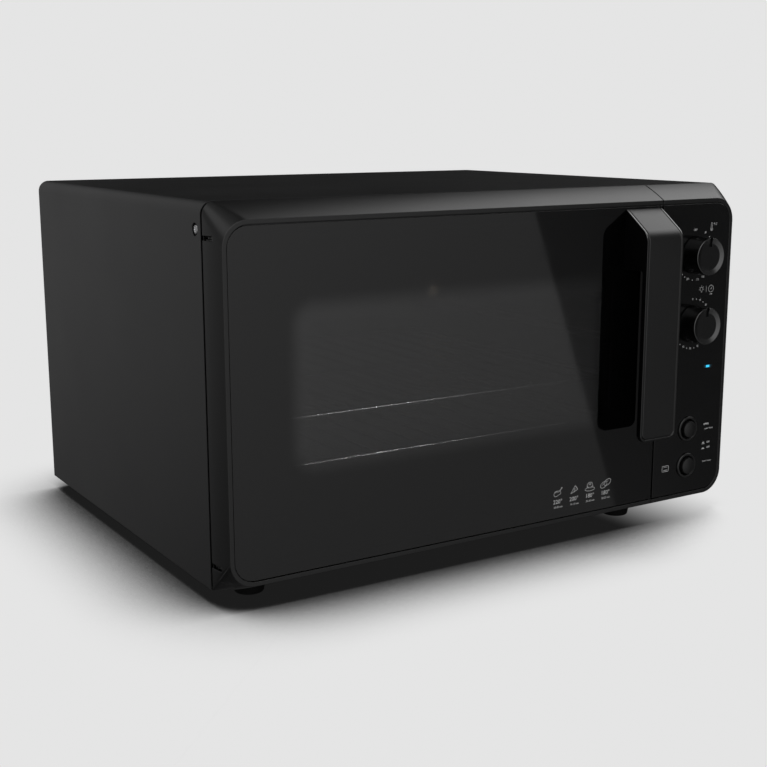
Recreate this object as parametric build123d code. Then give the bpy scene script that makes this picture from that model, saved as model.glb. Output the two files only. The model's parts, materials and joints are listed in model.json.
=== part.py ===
from build123d import *
import math
import os

# Bench oven with a side-hinged, full-height glass door and a control panel on its right.
# Millimetres.  While it is drawn, X runs from the left side of the body to the right, Y from the
# plane of the front glass to the rear, and Z up from the underside of the body.  The finished
# pieces are moved so that the origin lies on the ground, below the middle of the whole oven.

# ---------------------------------------------------------------- overall size
width = 580.0
body_height = 330.0
depth = 458.0               # front glass to the rear edge of the wrapper
foot_height = 14.0
handle_reach = 31.6         # front glass to the front of the handle

# ---------------------------------------------------------------- sheet metal body
sheet = 0.7
fit_gap = 0.3               # left round a sheet piece that slides into another
wrapper_radius = 11.0
wrapper_front = 30.75       # the wrapper starts here, behind the shadow gap of the door
flange = 14.0               # turned-in edges of the wrapper
dimple_radius = 5.5
dimple_depth = 2.0
screw_radius = 2.0
screw_head_radius = 4.0
screw_head_height = 1.8
screw_length = 9.0
frame_inset = sheet + dimple_depth + fit_gap
frame_flange = 20.0
vent_width = 5.0
side_screw_setback = 11.0   # wrapper edge to the side screw
side_screw_drop = 23.5      # top of the body to the side screw
rear_screw_pitch = 200.0    # largest distance between two screws of the back panel
screw_head_sides = 12
vent_rows = 3               # slots in the base pan
vents_in_row = 7
vent_row_pitch = 90.0
vent_pitch = 28.0
vent_length = 46.0
louvre_columns = 10         # slots in the back panel
louvre_pitch = 26.0
louvre_length = 60.0
louvre_inset = 55.0         # cavity floor or ceiling to the middle of a row of louvres
support_half_width = 45.0
support_foot = 18.0
support_height = 60.0

# ---------------------------------------------------------------- oven cavity
cavity_left = 24.0
cavity_to_seam = 16.5       # right wall of the cavity to the seam between door and panel
cavity_floor = 30.0
cavity_headroom = 30.0      # cavity to the top of the body
cavity_backroom = 53.0      # cavity to the rear of the body
mouth_radius = 8.0
mouth_flange = 9.0
guide_levels = 4
first_guide_rise = 62.3     # cavity floor to the top of the lowest guide bead
guide_pitch = 43.0
guide_reach = 7.0
guide_height = 9.0
guide_taper = 4.0

# ---------------------------------------------------------------- racks, tray, heaters, lamp
rack_levels = (0, 1)
rack_wire = 5.0
rack_rod = 3.0
rack_rod_pitch = 26.0
weld_gap = 0.05
rack_side_gap = 3.0
rack_front_setback = 6.0
rack_rear_gap = 9.0
rack_corner = 14.0
wire_sides = 8              # the round wires are drawn with this many sides
tray_height = 9.0
tray_side_gap = 8.0
tray_corner = 12.0
tray_lip_half_width = 50.0
tray_lip_reach = 5.0
heater_radius = 3.25
heater_sides = 12
heater_bend = 24.0
heater_lower_rise = 30.0    # cavity floor to the lower heater
heater_upper_drop = 25.0    # cavity ceiling to the upper heater
heater_front_y = 110.0
heater_rear_gap = 75.0      # rear wall of the cavity to the heater
heater_left_gap = 38.0      # left wall of the cavity to the bend
heater_tail = 24.0
heater_hole_gap = 0.1
heater_nut_wall = 4.0
heater_nut_length = 3.0
heater_stud_radius = 1.5
heater_stud_length = 9.0
clip_spread = 60.0          # middle of the bend to each clip
clip_half_height = 7.0
clip_foot = 10.0
clip_beyond = 8.0           # how far a clip reaches past the tube
lamp_rear_gap = 27.0        # rear wall of the cavity to the lamp
lamp_level = 2              # the lamp sits between this guide and the next
lamp_radius = 15.0
lamp_reach = 13.0
lamp_wall = 1.6
lamp_shoulder = 2.0
lamp_thread = 5.0
holder_wall = 3.0
holder_depth = 16.0
holder_well = 7.0
holder_socket_depth = 12.5
holder_socket_radius = 4.2
holder_ear = 6.0

# ---------------------------------------------------------------- front bezel, shared by door and panel
bezel_rear = 27.0
lip_side = 4.6              # how far the front lip stands in from the body at the sides
lip_top = 13.8
lip_bottom = 7.4
lip_width = 5.2
lip_corner = 23.5
bezel_bottom_corner = 2.0
bezel_wall = 2.5
glass_thickness = 4.0
glass_gap = 1.2             # open groove between the glass and the lip
ledge_width = 8.0
panel_width = 101.5         # middle of the seam to the right side of the body
seam_gap = 1.0

# ---------------------------------------------------------------- door
hinge_x = 6.5
hinge_y = 20.0
hinge_lower_z = 24.0        # top of the lower hinge plate
hinge_upper_drop = 30.0     # top of the body to the underside of the upper hinge plate
hinge_plate = 2.0
hinge_pin_radius = 3.0
hinge_pin_length = 12.0
hinge_running_gap = 0.05
hinge_play = 0.15
hinge_arm_half = 4.2
hinge_leg_height = 26.0
hinge_slot_gap = 0.7
hinge_slot_front = 8.0      # hinge axis to the front end of the slot in the stile
bush_wall = 1.6
bush_flange = 1.2
stile_right = 12.0
panel_setback = 1.0         # bezel's rear edge to the rear of the inner door panel
panel_flange = 9.0
window_left = 70.0
window_right_inset = 60.0   # right edge of the door to the window
window_bottom = 103.0
window_drop = 85.0          # top of the body to the window
window_margin = 7.0
inner_glass_thickness = 3.0
inner_glass_lap = 10.0
gasket_width = 5.0
gasket_lap = 2.0
gasket_squeeze_gap = 0.1
boss_radius = 4.5
panel_screw_left = 33.0     # stile to the first column of screws in the inner panel
panel_screw_right = 78.0    # right edge of the door to the last column
catch_width = 32.0
catch_height = 9.0
catch_depth = 14.0
catch_inset = 16.0          # right wall of the cavity to the middle of the catch
catch_shoulder = 3.0

# ---------------------------------------------------------------- handle
handle_width = 47.0
handle_side_gap = 1.3       # door edge to the handle
handle_drop = 1.5           # top of the glass to the handle
handle_slope = 23.0         # height of the sloped top
handle_root = 57.5          # height of the root on the glass
handle_bottom = 84.0
handle_bar = 5.6
handle_corner = 8.0
handle_bend = 15.0          # radius between the sloped top and the front
handle_chamfer = 1.0
handle_screw_radius = 2.5
handle_screw_bite = 16.0    # depth of the screw holes in the root
handle_screw_drops = (15.0, 43.0)

# ---------------------------------------------------------------- controls
control_inset = 54.5        # right side of the body to the knobs and buttons
fascia_thickness = 3.0
bay_side = 9.0              # seam to the opening of the face frame behind the controls
bay_inset = 18.0            # right side of the body to that opening
bay_rise = 24.0             # underside of the body to that opening
bay_drop = 29.0             # top of the body to that opening
bracket_y = 17.0
bracket_side = 4.0          # left edge of the panel to the bracket
bracket_inset = 14.0
bracket_rise = 18.0
bracket_drop = 25.0
bracket_return = 6.0        # how much shorter than the plate its folded sides are
knob_drop = 70.0            # top of the body to the upper knob
knob_pitch = 70.0
knob_radius = 18.5
knob_base_radius = 19.2
knob_front = 21.0
knob_gap = 0.8
knob_wall = 2.2
knob_hub_radius = 6.5
knob_hub_setback = 2.5
knob_groove = 3.2
shaft_radius = 3.0
shaft_flat = 0.9
running_gap = 0.06
spindle_hole = 7.0
bushing_radius = 4.6
bushing_length = 6.0
button_heights = {"upper_heat": 80.0, "lower_heat": 41.0}
button_radius = 8.8
button_ring_radius = 14.3
button_barrel_radius = 11.6
button_ring_height = 1.8
button_gap = 0.5
button_proud = 5.0
button_dome = 1.8
button_wall = 1.8
button_travel = 3.0
plunger_radius = 2.5
plunger_reach = 5.0         # how far the plunger stands in the switch
thermostat_size = 38.0
thermostat_depth = 24.0
terminal_spread = 9.0
terminal_width = 6.2
terminal_thickness = 0.8
terminal_length = 9.0
timer_case_radius = 23.0
timer_case_depth = 20.0
timer_bell_radius = 21.0
timer_bell_gap = 3.0
timer_bell_depth = 9.0
switch_width = 18.0
switch_height = 16.0
switch_depth = 22.0
lamp_slot_inset = 29.8      # right side of the body to the indicator
lamp_slot_drop = 46.3       # lower knob to the indicator
lamp_slot_width = 11.5
lamp_slot_height = 3.2

# ---------------------------------------------------------------- feet and cord inlet
foot_radius = 15.0
foot_recess = 7.0
foot_left_inset = 43.5
foot_right_inset = 108.0
foot_front_y = 47.0
foot_rear_inset = 38.0
cord_inset = 72.0           # right side of the body to the cord
cord_z = 48.0
cord_hole_radius = 9.0
cord_bore_radius = 4.0
cord_bush_flange = 2.5
cord_bush_length = 16.0

# ---------------------------------------------------------------- places worked out from the sizes
seam_x = width - panel_width
door_right = seam_x - seam_gap / 2
panel_left = seam_x + seam_gap / 2
glass_left = lip_side + lip_width
glass_right = width - glass_left
glass_bottom = lip_bottom + lip_width
glass_top = body_height - lip_top - lip_width
glass_corner = lip_corner - lip_width
frame_front = wrapper_front + sheet
frame_rear = frame_front + sheet
ledge_rear = glass_thickness + bezel_wall
panel_rear = bezel_rear - panel_setback
panel_front = panel_rear - sheet
cavity_right = seam_x - cavity_to_seam
cavity_ceiling = body_height - cavity_headroom
cavity_rear = depth - cavity_backroom
first_guide = cavity_floor + first_guide_rise
cavity_width = cavity_right - cavity_left
cavity_middle = (cavity_left + cavity_right) / 2
lamp_y = cavity_rear - lamp_rear_gap
lamp_z = first_guide + lamp_level * guide_pitch + (guide_pitch - guide_height) / 2
heater_lower_z = cavity_floor + heater_lower_rise
heater_upper_z = cavity_ceiling - heater_upper_drop
heater_rear_y = cavity_rear - heater_rear_gap
heater_left_x = cavity_left + heater_left_gap
hinge_upper_z = body_height - hinge_upper_drop
arm_left = frame_inset + sheet + fit_gap
window_right = door_right - window_right_inset
window_top = body_height - window_drop
catch_x = cavity_right - catch_inset
handle_top = glass_top - handle_drop
handle_slope_end = handle_top - handle_slope
handle_root_bottom = handle_top - handle_root
control_x = width - control_inset
knob_heights = {"temperature": body_height - knob_drop,
                "timer": body_height - knob_drop - knob_pitch}
lamp_slot_x = width - lamp_slot_inset
lamp_slot_z = knob_heights["timer"] - lamp_slot_drop
foot_columns = (foot_left_inset, width - foot_right_inset)
foot_rear_y = depth - foot_rear_inset
cord_x = width - cord_inset


def slab(x0, x1, y0, y1, z0, z1):
    """A block between two limits along each axis."""
    corner = (Align.MIN, Align.MIN, Align.MIN)
    return Pos(x0, y0, z0) * Box(x1 - x0, y1 - y0, z1 - z0, align=corner)


def rod_x(x0, x1, y, z, radius):
    """A cylinder along X."""
    upright = Cylinder(radius, x1 - x0, align=(Align.CENTER, Align.CENTER, Align.MIN))
    return Pos(x0, y, z) * Rot(0, 90, 0) * upright


def rod_y(x, y0, y1, z, radius):
    """A cylinder along Y."""
    upright = Cylinder(radius, y1 - y0, align=(Align.CENTER, Align.CENTER, Align.MIN))
    return Pos(x, y0, z) * Rot(-90, 0, 0) * upright


def rod_z(x, y, z0, z1, radius):
    """A cylinder along Z."""
    upright = Cylinder(radius, z1 - z0, align=(Align.CENTER, Align.CENTER, Align.MIN))
    return Pos(x, y, z0) * upright


def front_view(x0, x1, z0, z1, top_radius=0.0, bottom_radius=0.0):
    """A rectangle as seen from the front, with its upper and lower corners rounded."""
    corners = [(x0, z0), (x1, z0), (x1, z1), (x0, z1)]
    face = make_face(Polyline(*corners, close=True))
    if top_radius > 0:
        face = fillet(face.vertices().group_by(Axis.Y)[-1], top_radius)
    if bottom_radius > 0:
        face = fillet(face.vertices().group_by(Axis.Y)[0], bottom_radius)
    return face


def along_depth(sketch, y0, y1):
    """A front-view sketch drawn out from y0 back to y1."""
    return extrude(Plane.XZ.offset(-y1) * sketch, amount=y1 - y0)


def turned(points, axis_x, axis_z):
    """A turned piece about an axis along Y: points are (radius, y)."""
    face = make_face(Polyline(*points, close=True))
    return Pos(axis_x, 0, axis_z) * revolve(face, Axis.Y, 360)


def body_outline(inset):
    """Cross-section of the body moved inwards: rounded at the top, square at the foot."""
    corner = max(wrapper_radius - inset, sheet)
    return front_view(inset, width - inset, inset, body_height - inset, corner)


def mouth_outline(grow):
    """The mouth of the cavity, moved outwards by grow."""
    corner = mouth_radius + grow
    return front_view(cavity_left - grow, cavity_right + grow, cavity_floor - grow,
                      cavity_ceiling + grow, corner, corner)


# ---------------------------------------------------------------- sheet metal body

def side_screw_places():
    """Y and Z of the screw on each side of the wrapper."""
    return wrapper_front + side_screw_setback, body_height - side_screw_drop


def rear_screw_places():
    """X and Z of the screws round the back panel, in the middle of the wrapper's rear flange."""
    edge = (flange + frame_inset) / 2
    high = body_height - edge
    across = math.ceil((width - 2 * edge) / rear_screw_pitch)
    places = []
    for step in range(across + 1):
        x = edge + (width - 2 * edge) * step / across
        inward = flange / 2 if step in (0, across) else 0
        places.append((x, high - inward))
        places.append((x, edge + inward))
    return places


def outer_wrapper():
    """Folded cover: top and both sides in one sheet, with turned-in bottom and rear edges."""
    shell = along_depth(body_outline(0) - body_outline(sheet), wrapper_front, depth)
    shell -= slab(flange, width - flange, 0, depth + 1, -1, sheet + fit_gap / 2)
    shell += along_depth(body_outline(0) - body_outline(flange), depth - sheet, depth)
    y, z = side_screw_places()
    cup = dimple_radius + sheet
    shell += rod_x(sheet / 2, sheet + dimple_depth, y, z, cup)
    shell += rod_x(width - sheet - dimple_depth, width - sheet / 2, y, z, cup)
    shell -= rod_x(-1, dimple_depth, y, z, dimple_radius)
    shell -= rod_x(width - dimple_depth, width + 1, y, z, dimple_radius)
    shell -= rod_x(-1, width + 1, y, z, screw_radius + running_gap)
    for x, z in rear_screw_places():
        shell -= rod_y(x, depth - 2 * sheet, depth + 1, z, screw_radius + running_gap)
    return shell


def front_frame():
    """Face frame inside the wrapper: it carries the liner, hinge arms, catch and controls."""
    outline = body_outline(frame_inset)
    frame = along_depth(outline, frame_front, frame_rear)
    frame += along_depth(outline - body_outline(frame_inset + sheet), frame_front,
                         frame_front + frame_flange)
    frame -= along_depth(mouth_outline(0), frame_front - 1, frame_rear + 1)
    bay = front_view(panel_left + bay_side, width - bay_inset, bay_rise, body_height - bay_drop, 4, 4)
    frame -= along_depth(bay, frame_front - 1, frame_rear + 1)
    for z in (hinge_lower_z - hinge_plate, hinge_upper_z):
        frame -= slab(arm_left - fit_gap, hinge_x + hinge_arm_half + fit_gap, frame_front - 1,
                      frame_rear + 1, z - fit_gap, z + hinge_plate + fit_gap)
    frame -= along_depth(catch_outline(fit_gap), frame_front - 1, frame_rear + 1)
    for x in foot_columns:
        frame -= rod_z(x, foot_front_y, 0, frame_inset + 2 * sheet, screw_head_radius)
    y, z = side_screw_places()
    frame -= rod_x(-1, width + 1, y, z, screw_radius + running_gap)
    return frame


def base_pan():
    """Floor sheet that lies on the wrapper's bottom edges, with vent slots and foot holes."""
    edge = sheet + fit_gap
    pan = slab(edge, width - edge, frame_front, depth - 2 * sheet - fit_gap, sheet, 2 * sheet)
    for row in range(vent_rows):
        for column in range(vents_in_row):
            x = width / 2 + (column - (vents_in_row - 1) / 2) * vent_pitch
            y = (wrapper_front + depth) / 2 + (row - (vent_rows - 1) / 2) * vent_row_pitch
            pan -= Pos(x, y, 0) * extrude(Rectangle(vent_width, vent_length), amount=3 * sheet)
    for x in foot_columns:
        for y in (foot_front_y, foot_rear_y):
            pan -= rod_z(x, y, 0, 3 * sheet, screw_radius + running_gap)
    return pan


def back_panel():
    """Rear cover behind the wrapper's rear flange, with louvre slots and the cord hole."""
    outline = body_outline(frame_inset)
    rear = depth - sheet
    panel = along_depth(outline, rear - sheet, rear)
    panel += along_depth(outline - body_outline(frame_inset + sheet), rear - frame_flange, rear)
    for column in range(louvre_columns):
        x = cavity_middle + (column - (louvre_columns - 1) / 2) * louvre_pitch
        for z in (cavity_ceiling - louvre_inset, cavity_floor + louvre_inset):
            opening = Pos(x, z) * Rectangle(vent_width, louvre_length)
            panel -= along_depth(opening, rear - 2 * sheet, rear + 1)
    panel -= rod_y(cord_x, rear - 2 * sheet, rear + 1, cord_z, cord_hole_radius)
    for x, z in rear_screw_places():
        panel -= rod_y(x, rear - 2 * sheet, rear + 1, z, screw_radius + running_gap)
    return panel


def rear_support():
    """Hat-section bracket that ties the back of the liner to the back panel."""
    front = cavity_rear + sheet
    rear = depth - 2 * sheet
    half = support_half_width
    foot = support_foot
    low = (cavity_floor + cavity_ceiling - support_height) / 2
    outline = [(-half - foot, front), (-half, front), (-half, rear - sheet), (half, rear - sheet),
               (half, front), (half + foot, front), (half + foot, front + sheet),
               (half + sheet, front + sheet), (half + sheet, rear), (-half - sheet, rear),
               (-half - sheet, front + sheet), (-half - foot, front + sheet)]
    section = make_face(Polyline(*outline, close=True))
    return Pos(cavity_middle, 0, low) * extrude(section, amount=support_height)


def screw(length=screw_length):
    """Pan-head screw standing on the origin: head above, shank below."""
    head = extrude(RegularPolygon(screw_head_radius, screw_head_sides), amount=screw_head_height)
    shank = extrude(RegularPolygon(screw_radius, wire_sides), amount=-length)
    return head + shank


def side_screws():
    """One screw in the dimple on each side, through the wrapper into the face frame."""
    y, z = side_screw_places()
    left = Pos(dimple_depth, y, z) * Rot(0, -90, 0) * screw()
    right = Pos(width - dimple_depth, y, z) * Rot(0, 90, 0) * screw()
    return Compound(children=[left, right])


def back_screws():
    """Screws round the rear, through the wrapper's flange into the back panel."""
    group = []
    for x, z in rear_screw_places():
        group.append(Pos(x, depth, z) * Rot(-90, 0, 0) * screw())
    return Compound(children=group)


# ---------------------------------------------------------------- oven cavity

def cavity_section(grow):
    """Cross-section of the cavity with its guide beads, moved outwards by grow."""
    section = mouth_outline(grow)
    for level in range(guide_levels):
        top = first_guide + level * guide_pitch - grow
        low = top - guide_height + 2 * grow
        reach = guide_reach - grow
        bead = [(-grow - 1, top), (reach, top), (reach, low + guide_taper), (-grow - 1, low)]
        left = [(cavity_left + x, z) for x, z in bead]
        right = [(cavity_right - x, z) for x, z in bead]
        section -= make_face(Polyline(*left, close=True))
        section -= make_face(Polyline(*right, close=True))
    return section


def cavity_liner():
    """Oven chamber: beaded side walls folded from one sheet, rear wall and a mouth flange."""
    liner = along_depth(cavity_section(sheet) - cavity_section(0), frame_rear, cavity_rear)
    liner += along_depth(mouth_outline(sheet), cavity_rear, cavity_rear + sheet)
    liner += along_depth(mouth_outline(mouth_flange) - mouth_outline(0), frame_rear,
                         frame_rear + sheet)
    wall = cavity_right - 1
    for z in (heater_lower_z, heater_upper_z):
        for y in (heater_front_y, heater_rear_y):
            liner -= rod_x(wall, wall + 4, y, z, heater_radius + heater_hole_gap)
    liner -= rod_x(wall, wall + 4, lamp_y, lamp_z, lamp_radius - lamp_shoulder)
    return liner


def wire_rack(level):
    """Wire rack: a bent frame wire with lighter rods spot-welded across it, front to back."""
    half = cavity_width / 2 - rack_side_gap - rack_wire / 2
    front = frame_rear + rack_front_setback
    rear = cavity_rear - rack_rear_gap
    z = first_guide + level * guide_pitch + rack_wire / 2 + fit_gap
    corners = [(cavity_middle - half, front), (cavity_middle + half, front),
               (cavity_middle + half, rear), (cavity_middle - half, rear)]
    path = FilletPolyline(*corners, radius=rack_corner, close=True)
    start = Plane(origin=(cavity_middle, front, 0), x_dir=(0, 1, 0), z_dir=(1, 0, 0))
    wires = [sweep(start * RegularPolygon(rack_wire / 2, wire_sides), path=path)]
    count = 2 * int((half - rack_corner) / rack_rod_pitch) + 1
    rise = rack_wire / 2 + rack_rod / 2 + weld_gap
    rod = Plane.XZ.offset(-rear - rack_wire / 2) * RegularPolygon(rack_rod / 2, wire_sides)
    rod = extrude(rod, amount=rear - front + rack_wire)
    for number in range(count):
        x = cavity_middle + (number - (count - 1) / 2) * rack_rod_pitch
        wires.append(Pos(x, 0, rise) * rod)
    return Pos(0, 0, z) * Compound(children=wires)


def crumb_tray():
    """Shallow tray on the cavity floor under the lower heater, with a finger lip in front."""
    left = cavity_left + tray_side_gap
    right = cavity_right - tray_side_gap
    front = frame_rear + rack_front_setback
    rear = cavity_rear - rack_rear_gap
    low = cavity_floor + fit_gap
    outline = RectangleRounded(right - left, rear - front, tray_corner)
    hollow = RectangleRounded(right - left - 2 * sheet, rear - front - 2 * sheet, tray_corner - sheet)
    tray = extrude(outline, amount=tray_height)
    tray -= Pos(0, 0, sheet) * extrude(hollow, amount=tray_height)
    tray = Pos((left + right) / 2, (front + rear) / 2, low) * tray
    tray += slab(cavity_middle - tray_lip_half_width, cavity_middle + tray_lip_half_width,
                 front - tray_lip_reach, front + sheet / 2, low + tray_height - sheet, low + tray_height)
    return tray


def heater(z):
    """Tubular heater: one U in a level plane, both cold ends through the right-hand wall."""
    end = cavity_right + heater_tail
    points = [(end, heater_front_y, z), (heater_left_x, heater_front_y, z),
              (heater_left_x, heater_rear_y, z), (end, heater_rear_y, z)]
    path = FilletPolyline(*points, radius=heater_bend)
    start = Plane(origin=points[0], x_dir=(0, 1, 0), z_dir=(-1, 0, 0))
    tube = sweep(start * RegularPolygon(heater_radius, heater_sides), path=path)
    outside = cavity_right + sheet
    for y in (heater_front_y, heater_rear_y):
        nut = Plane.YZ.offset(outside) * Pos(y, z) * RegularPolygon(heater_radius + heater_nut_wall, 6)
        stud = Plane.YZ.offset(end - 1) * Pos(y, z) * RegularPolygon(heater_stud_radius, wire_sides)
        tube += extrude(nut, amount=heater_nut_length)
        tube += extrude(stud, amount=heater_stud_length + 1)
    return tube


def heater_clips():
    """Four thin hangers on the left wall, which hold the bent end of each heater."""
    group = []
    middle = (heater_front_y + heater_rear_y) / 2
    for z in (heater_lower_z, heater_upper_z):
        low = z - clip_half_height
        high = z + clip_half_height
        for y in (middle - clip_spread, middle + clip_spread):
            clip = slab(cavity_left, heater_left_x + clip_beyond, y, y + sheet, low, high)
            clip += slab(cavity_left, cavity_left + sheet, y, y + clip_foot, low, high)
            clip -= rod_y(heater_left_x, y - 1, y + 2, z, heater_radius + running_gap)
            group.append(clip)
    return Compound(children=group)


def lamp_cover():
    """Domed glass over the cavity lamp, screwed into the holder behind the right wall."""
    wall = cavity_right
    outer = lamp_radius - lamp_shoulder - fit_gap
    points = [(0, -lamp_reach), (lamp_radius * 0.7, -lamp_reach * 0.8), (lamp_radius, -fit_gap),
              (outer, -fit_gap), (outer, lamp_thread), (outer - lamp_wall, lamp_thread),
              (outer - lamp_wall, -lamp_reach * 0.42), (0, -lamp_reach + lamp_wall)]
    face = make_face(Polyline(*points, close=True))
    dome = revolve(face, Axis.Y, 360)
    return Pos(wall, lamp_y, lamp_z) * Rot(0, 0, -90) * dome


def lamp_bulb():
    """Small pear-shaped lamp behind the dome."""
    points = [(0, -8), (5, -5), (6, 2), (4, 8), (4, 13), (0, 13)]
    bulb = revolve(make_face(Polyline(*points, close=True)), Axis.Y, 360)
    return Pos(cavity_right, lamp_y, lamp_z) * Rot(0, 0, -90) * bulb


def lamp_holder():
    """Ceramic lamp holder on the outside of the right-hand cavity wall."""
    seat = cavity_right + sheet
    outer = lamp_radius + holder_wall
    ear_end = outer + holder_ear
    ears = slab(seat, seat + holder_wall, lamp_y - ear_end, lamp_y + ear_end,
                lamp_z - holder_ear, lamp_z + holder_ear)
    cup = rod_x(seat, seat + holder_depth, lamp_y, lamp_z, outer) + ears
    cup -= rod_x(seat - 1, seat + holder_well, lamp_y, lamp_z, lamp_radius - lamp_shoulder)
    return cup - rod_x(seat, seat + holder_socket_depth, lamp_y, lamp_z, holder_socket_radius)


# ---------------------------------------------------------------- front bezel

def bezel_loft(inset):
    """The bevelled front as one block: it tapers from the body outline to the smaller lip."""
    rear = front_view(inset, width - inset, inset, body_height - inset,
                      wrapper_radius, bezel_bottom_corner)
    front = front_view(lip_side + inset, width - lip_side - inset, lip_bottom + inset,
                       body_height - lip_top - inset, lip_corner, lip_corner)
    return loft([Plane.XZ.offset(-bezel_rear) * rear, Plane.XZ * front], ruled=True)


def glazing(gap, shrink=0.0):
    """Outline of the glass area over door and panel together, with a gap round it."""
    corner = glass_corner + gap - shrink
    return front_view(glass_left - gap + shrink, glass_right + gap - shrink,
                      glass_bottom - gap + shrink, glass_top + gap - shrink, corner, corner)


def bezel_hollow(x0, x1):
    """The space inside the bezel between x0 and x1, open to the rear."""
    inside = slab(x0, x1, ledge_rear, bezel_rear + 1, -1, body_height + 1)
    return bezel_loft(bezel_wall) & inside


def panel_screw_places():
    """X and Z of the screws that hold the inner door panel."""
    low = glass_bottom + 3
    high = glass_top + 2
    places = []
    for x in (stile_right + panel_screw_left, cavity_middle, door_right - panel_screw_right):
        places.append((x, low))
        places.append((x, high))
    return places


def door_frame():
    """Moulded door surround: bevelled walls, glass recess and ledge, hinge stile on the left."""
    keep = slab(-1, door_right, -1, bezel_rear + 1, -1, body_height + 1)
    frame = bezel_loft(0) & keep
    frame -= along_depth(glazing(glass_gap), -1, glass_thickness)
    frame -= along_depth(glazing(0, ledge_width), 0, ledge_rear + 1) & slab(
        0, door_right - bezel_wall, -1, bezel_rear, 0, body_height)
    frame -= bezel_hollow(stile_right, door_right - bezel_wall)
    pocket_low = hinge_lower_z + hinge_pin_length + 8
    pocket_high = hinge_upper_z - hinge_pin_length - 8
    frame -= slab(lip_side + bezel_wall, stile_right - bezel_wall, ledge_rear, bezel_rear + 1,
                  pocket_low, pocket_high)
    for x, z in panel_screw_places():
        frame += rod_y(x, ledge_rear - 1, panel_front, z, boss_radius)
        frame -= rod_y(x, panel_front - screw_length, panel_front + 1, z, screw_radius + running_gap)
    frame -= hinge_slots()
    bush = hinge_pin_radius + hinge_running_gap + bush_wall + running_gap
    frame -= rod_z(hinge_x, hinge_y, hinge_lower_z, hinge_lower_z + hinge_pin_length + 3, bush)
    frame -= rod_z(hinge_x, hinge_y, hinge_upper_z - hinge_pin_length - 3, hinge_upper_z, bush)
    return frame


def hinge_slots():
    """Slots through the stile in which the fixed hinge arms lie while the door swings."""
    front = hinge_y - hinge_slot_front
    lower = slab(-1, stile_right + 1, front, bezel_rear + 1, hinge_lower_z - hinge_plate - hinge_slot_gap,
                 hinge_lower_z + hinge_play + bush_flange)
    upper = slab(-1, stile_right + 1, front, bezel_rear + 1, hinge_upper_z - hinge_play - bush_flange,
                 hinge_upper_z + hinge_plate + hinge_slot_gap)
    return lower + upper


def door_glass():
    """Outer glass of the door, flush with the lip, with two holes for the handle screws."""
    sheet_outline = glazing(0) & front_view(0, door_right, 0, body_height)
    glass = along_depth(sheet_outline, 0, glass_thickness)
    for x, z in handle_screw_places():
        glass -= rod_y(x, -1, glass_thickness + 1, z, handle_screw_radius + fit_gap)
    return glass


def window(grow, corner=6.0):
    """The viewing window, moved outwards by grow."""
    return front_view(window_left - grow, window_right + grow, window_bottom - grow,
                      window_top + grow, corner, corner)


def door_inner_panel():
    """Pressed inner panel: window opening, turned-in edge and screw holes."""
    outer = bezel_loft(bezel_wall + fit_gap) & slab(
        stile_right + fit_gap, door_right - bezel_wall - fit_gap, panel_rear - panel_flange, panel_rear,
        0, body_height)
    inner = bezel_loft(bezel_wall + fit_gap + sheet) & slab(
        stile_right + fit_gap + sheet, door_right - bezel_wall - fit_gap - sheet,
        panel_rear - panel_flange - 1, panel_front, 0, body_height)
    panel = outer - inner
    panel -= along_depth(window(window_margin), panel_front - 1, panel_rear + 1)
    for x, z in panel_screw_places():
        panel -= rod_y(x, panel_front - 1, panel_rear + 1, z, screw_radius + running_gap)
    return panel


def door_inner_glass():
    """Inner pane, laid on the front of the inner panel behind the window."""
    pane = window(window_margin + inner_glass_lap)
    return along_depth(pane, panel_front - inner_glass_thickness, panel_front)


def door_gasket():
    """Heat-proof seal on the inner panel, pressed on the face frame round the cavity mouth."""
    inner = mouth_outline(gasket_lap)
    outer = mouth_outline(gasket_lap + gasket_width)
    seal = along_depth(outer - inner, panel_rear, frame_front - gasket_squeeze_gap)
    return seal


def door_screws():
    """Screws that hold the inner panel on the bosses of the door frame."""
    group = []
    for x, z in panel_screw_places():
        group.append(Pos(x, panel_rear, z) * Rot(-90, 0, 0) * screw(screw_length - 1))
    return Compound(children=group)


def catch_outline(grow):
    """Front view of the catch, between the gasket and the top edge of the door."""
    low = cavity_ceiling + gasket_lap + gasket_width + 2
    return front_view(catch_x - catch_width / 2 - grow, catch_x + catch_width / 2 + grow,
                      low - grow, low + catch_height + grow)


def catch_magnet():
    """Magnet block that looks through the face frame, with shoulders behind it."""
    front = frame_front - gasket_squeeze_gap
    block = along_depth(catch_outline(0), front, frame_rear + catch_depth)
    wings = catch_outline(0)
    bounds = wings.bounding_box()
    block += slab(bounds.min.X - catch_shoulder, bounds.max.X + catch_shoulder, frame_rear,
                  frame_rear + catch_shoulder, bounds.min.Y, bounds.max.Y)
    return block


def catch_striker():
    """Steel striker on the inner door panel, opposite the magnet."""
    return along_depth(catch_outline(1.0), panel_rear, frame_front - 2 * gasket_squeeze_gap)


# ---------------------------------------------------------------- hinges

def hinge_arm(low, pin_up):
    """Fixed hinge arm with its leg behind the face frame and its riveted pin."""
    top = low + hinge_plate
    nose = rod_z(hinge_x, hinge_y, low, top, hinge_arm_half)
    strip = slab(arm_left, hinge_x + hinge_arm_half, hinge_y, frame_rear + hinge_plate, low, top)
    leg_low = low if pin_up else top - hinge_leg_height
    leg = slab(arm_left, cavity_left - mouth_flange - fit_gap, frame_rear, frame_rear + hinge_plate,
               leg_low, leg_low + hinge_leg_height)
    return nose + strip + leg


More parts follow.
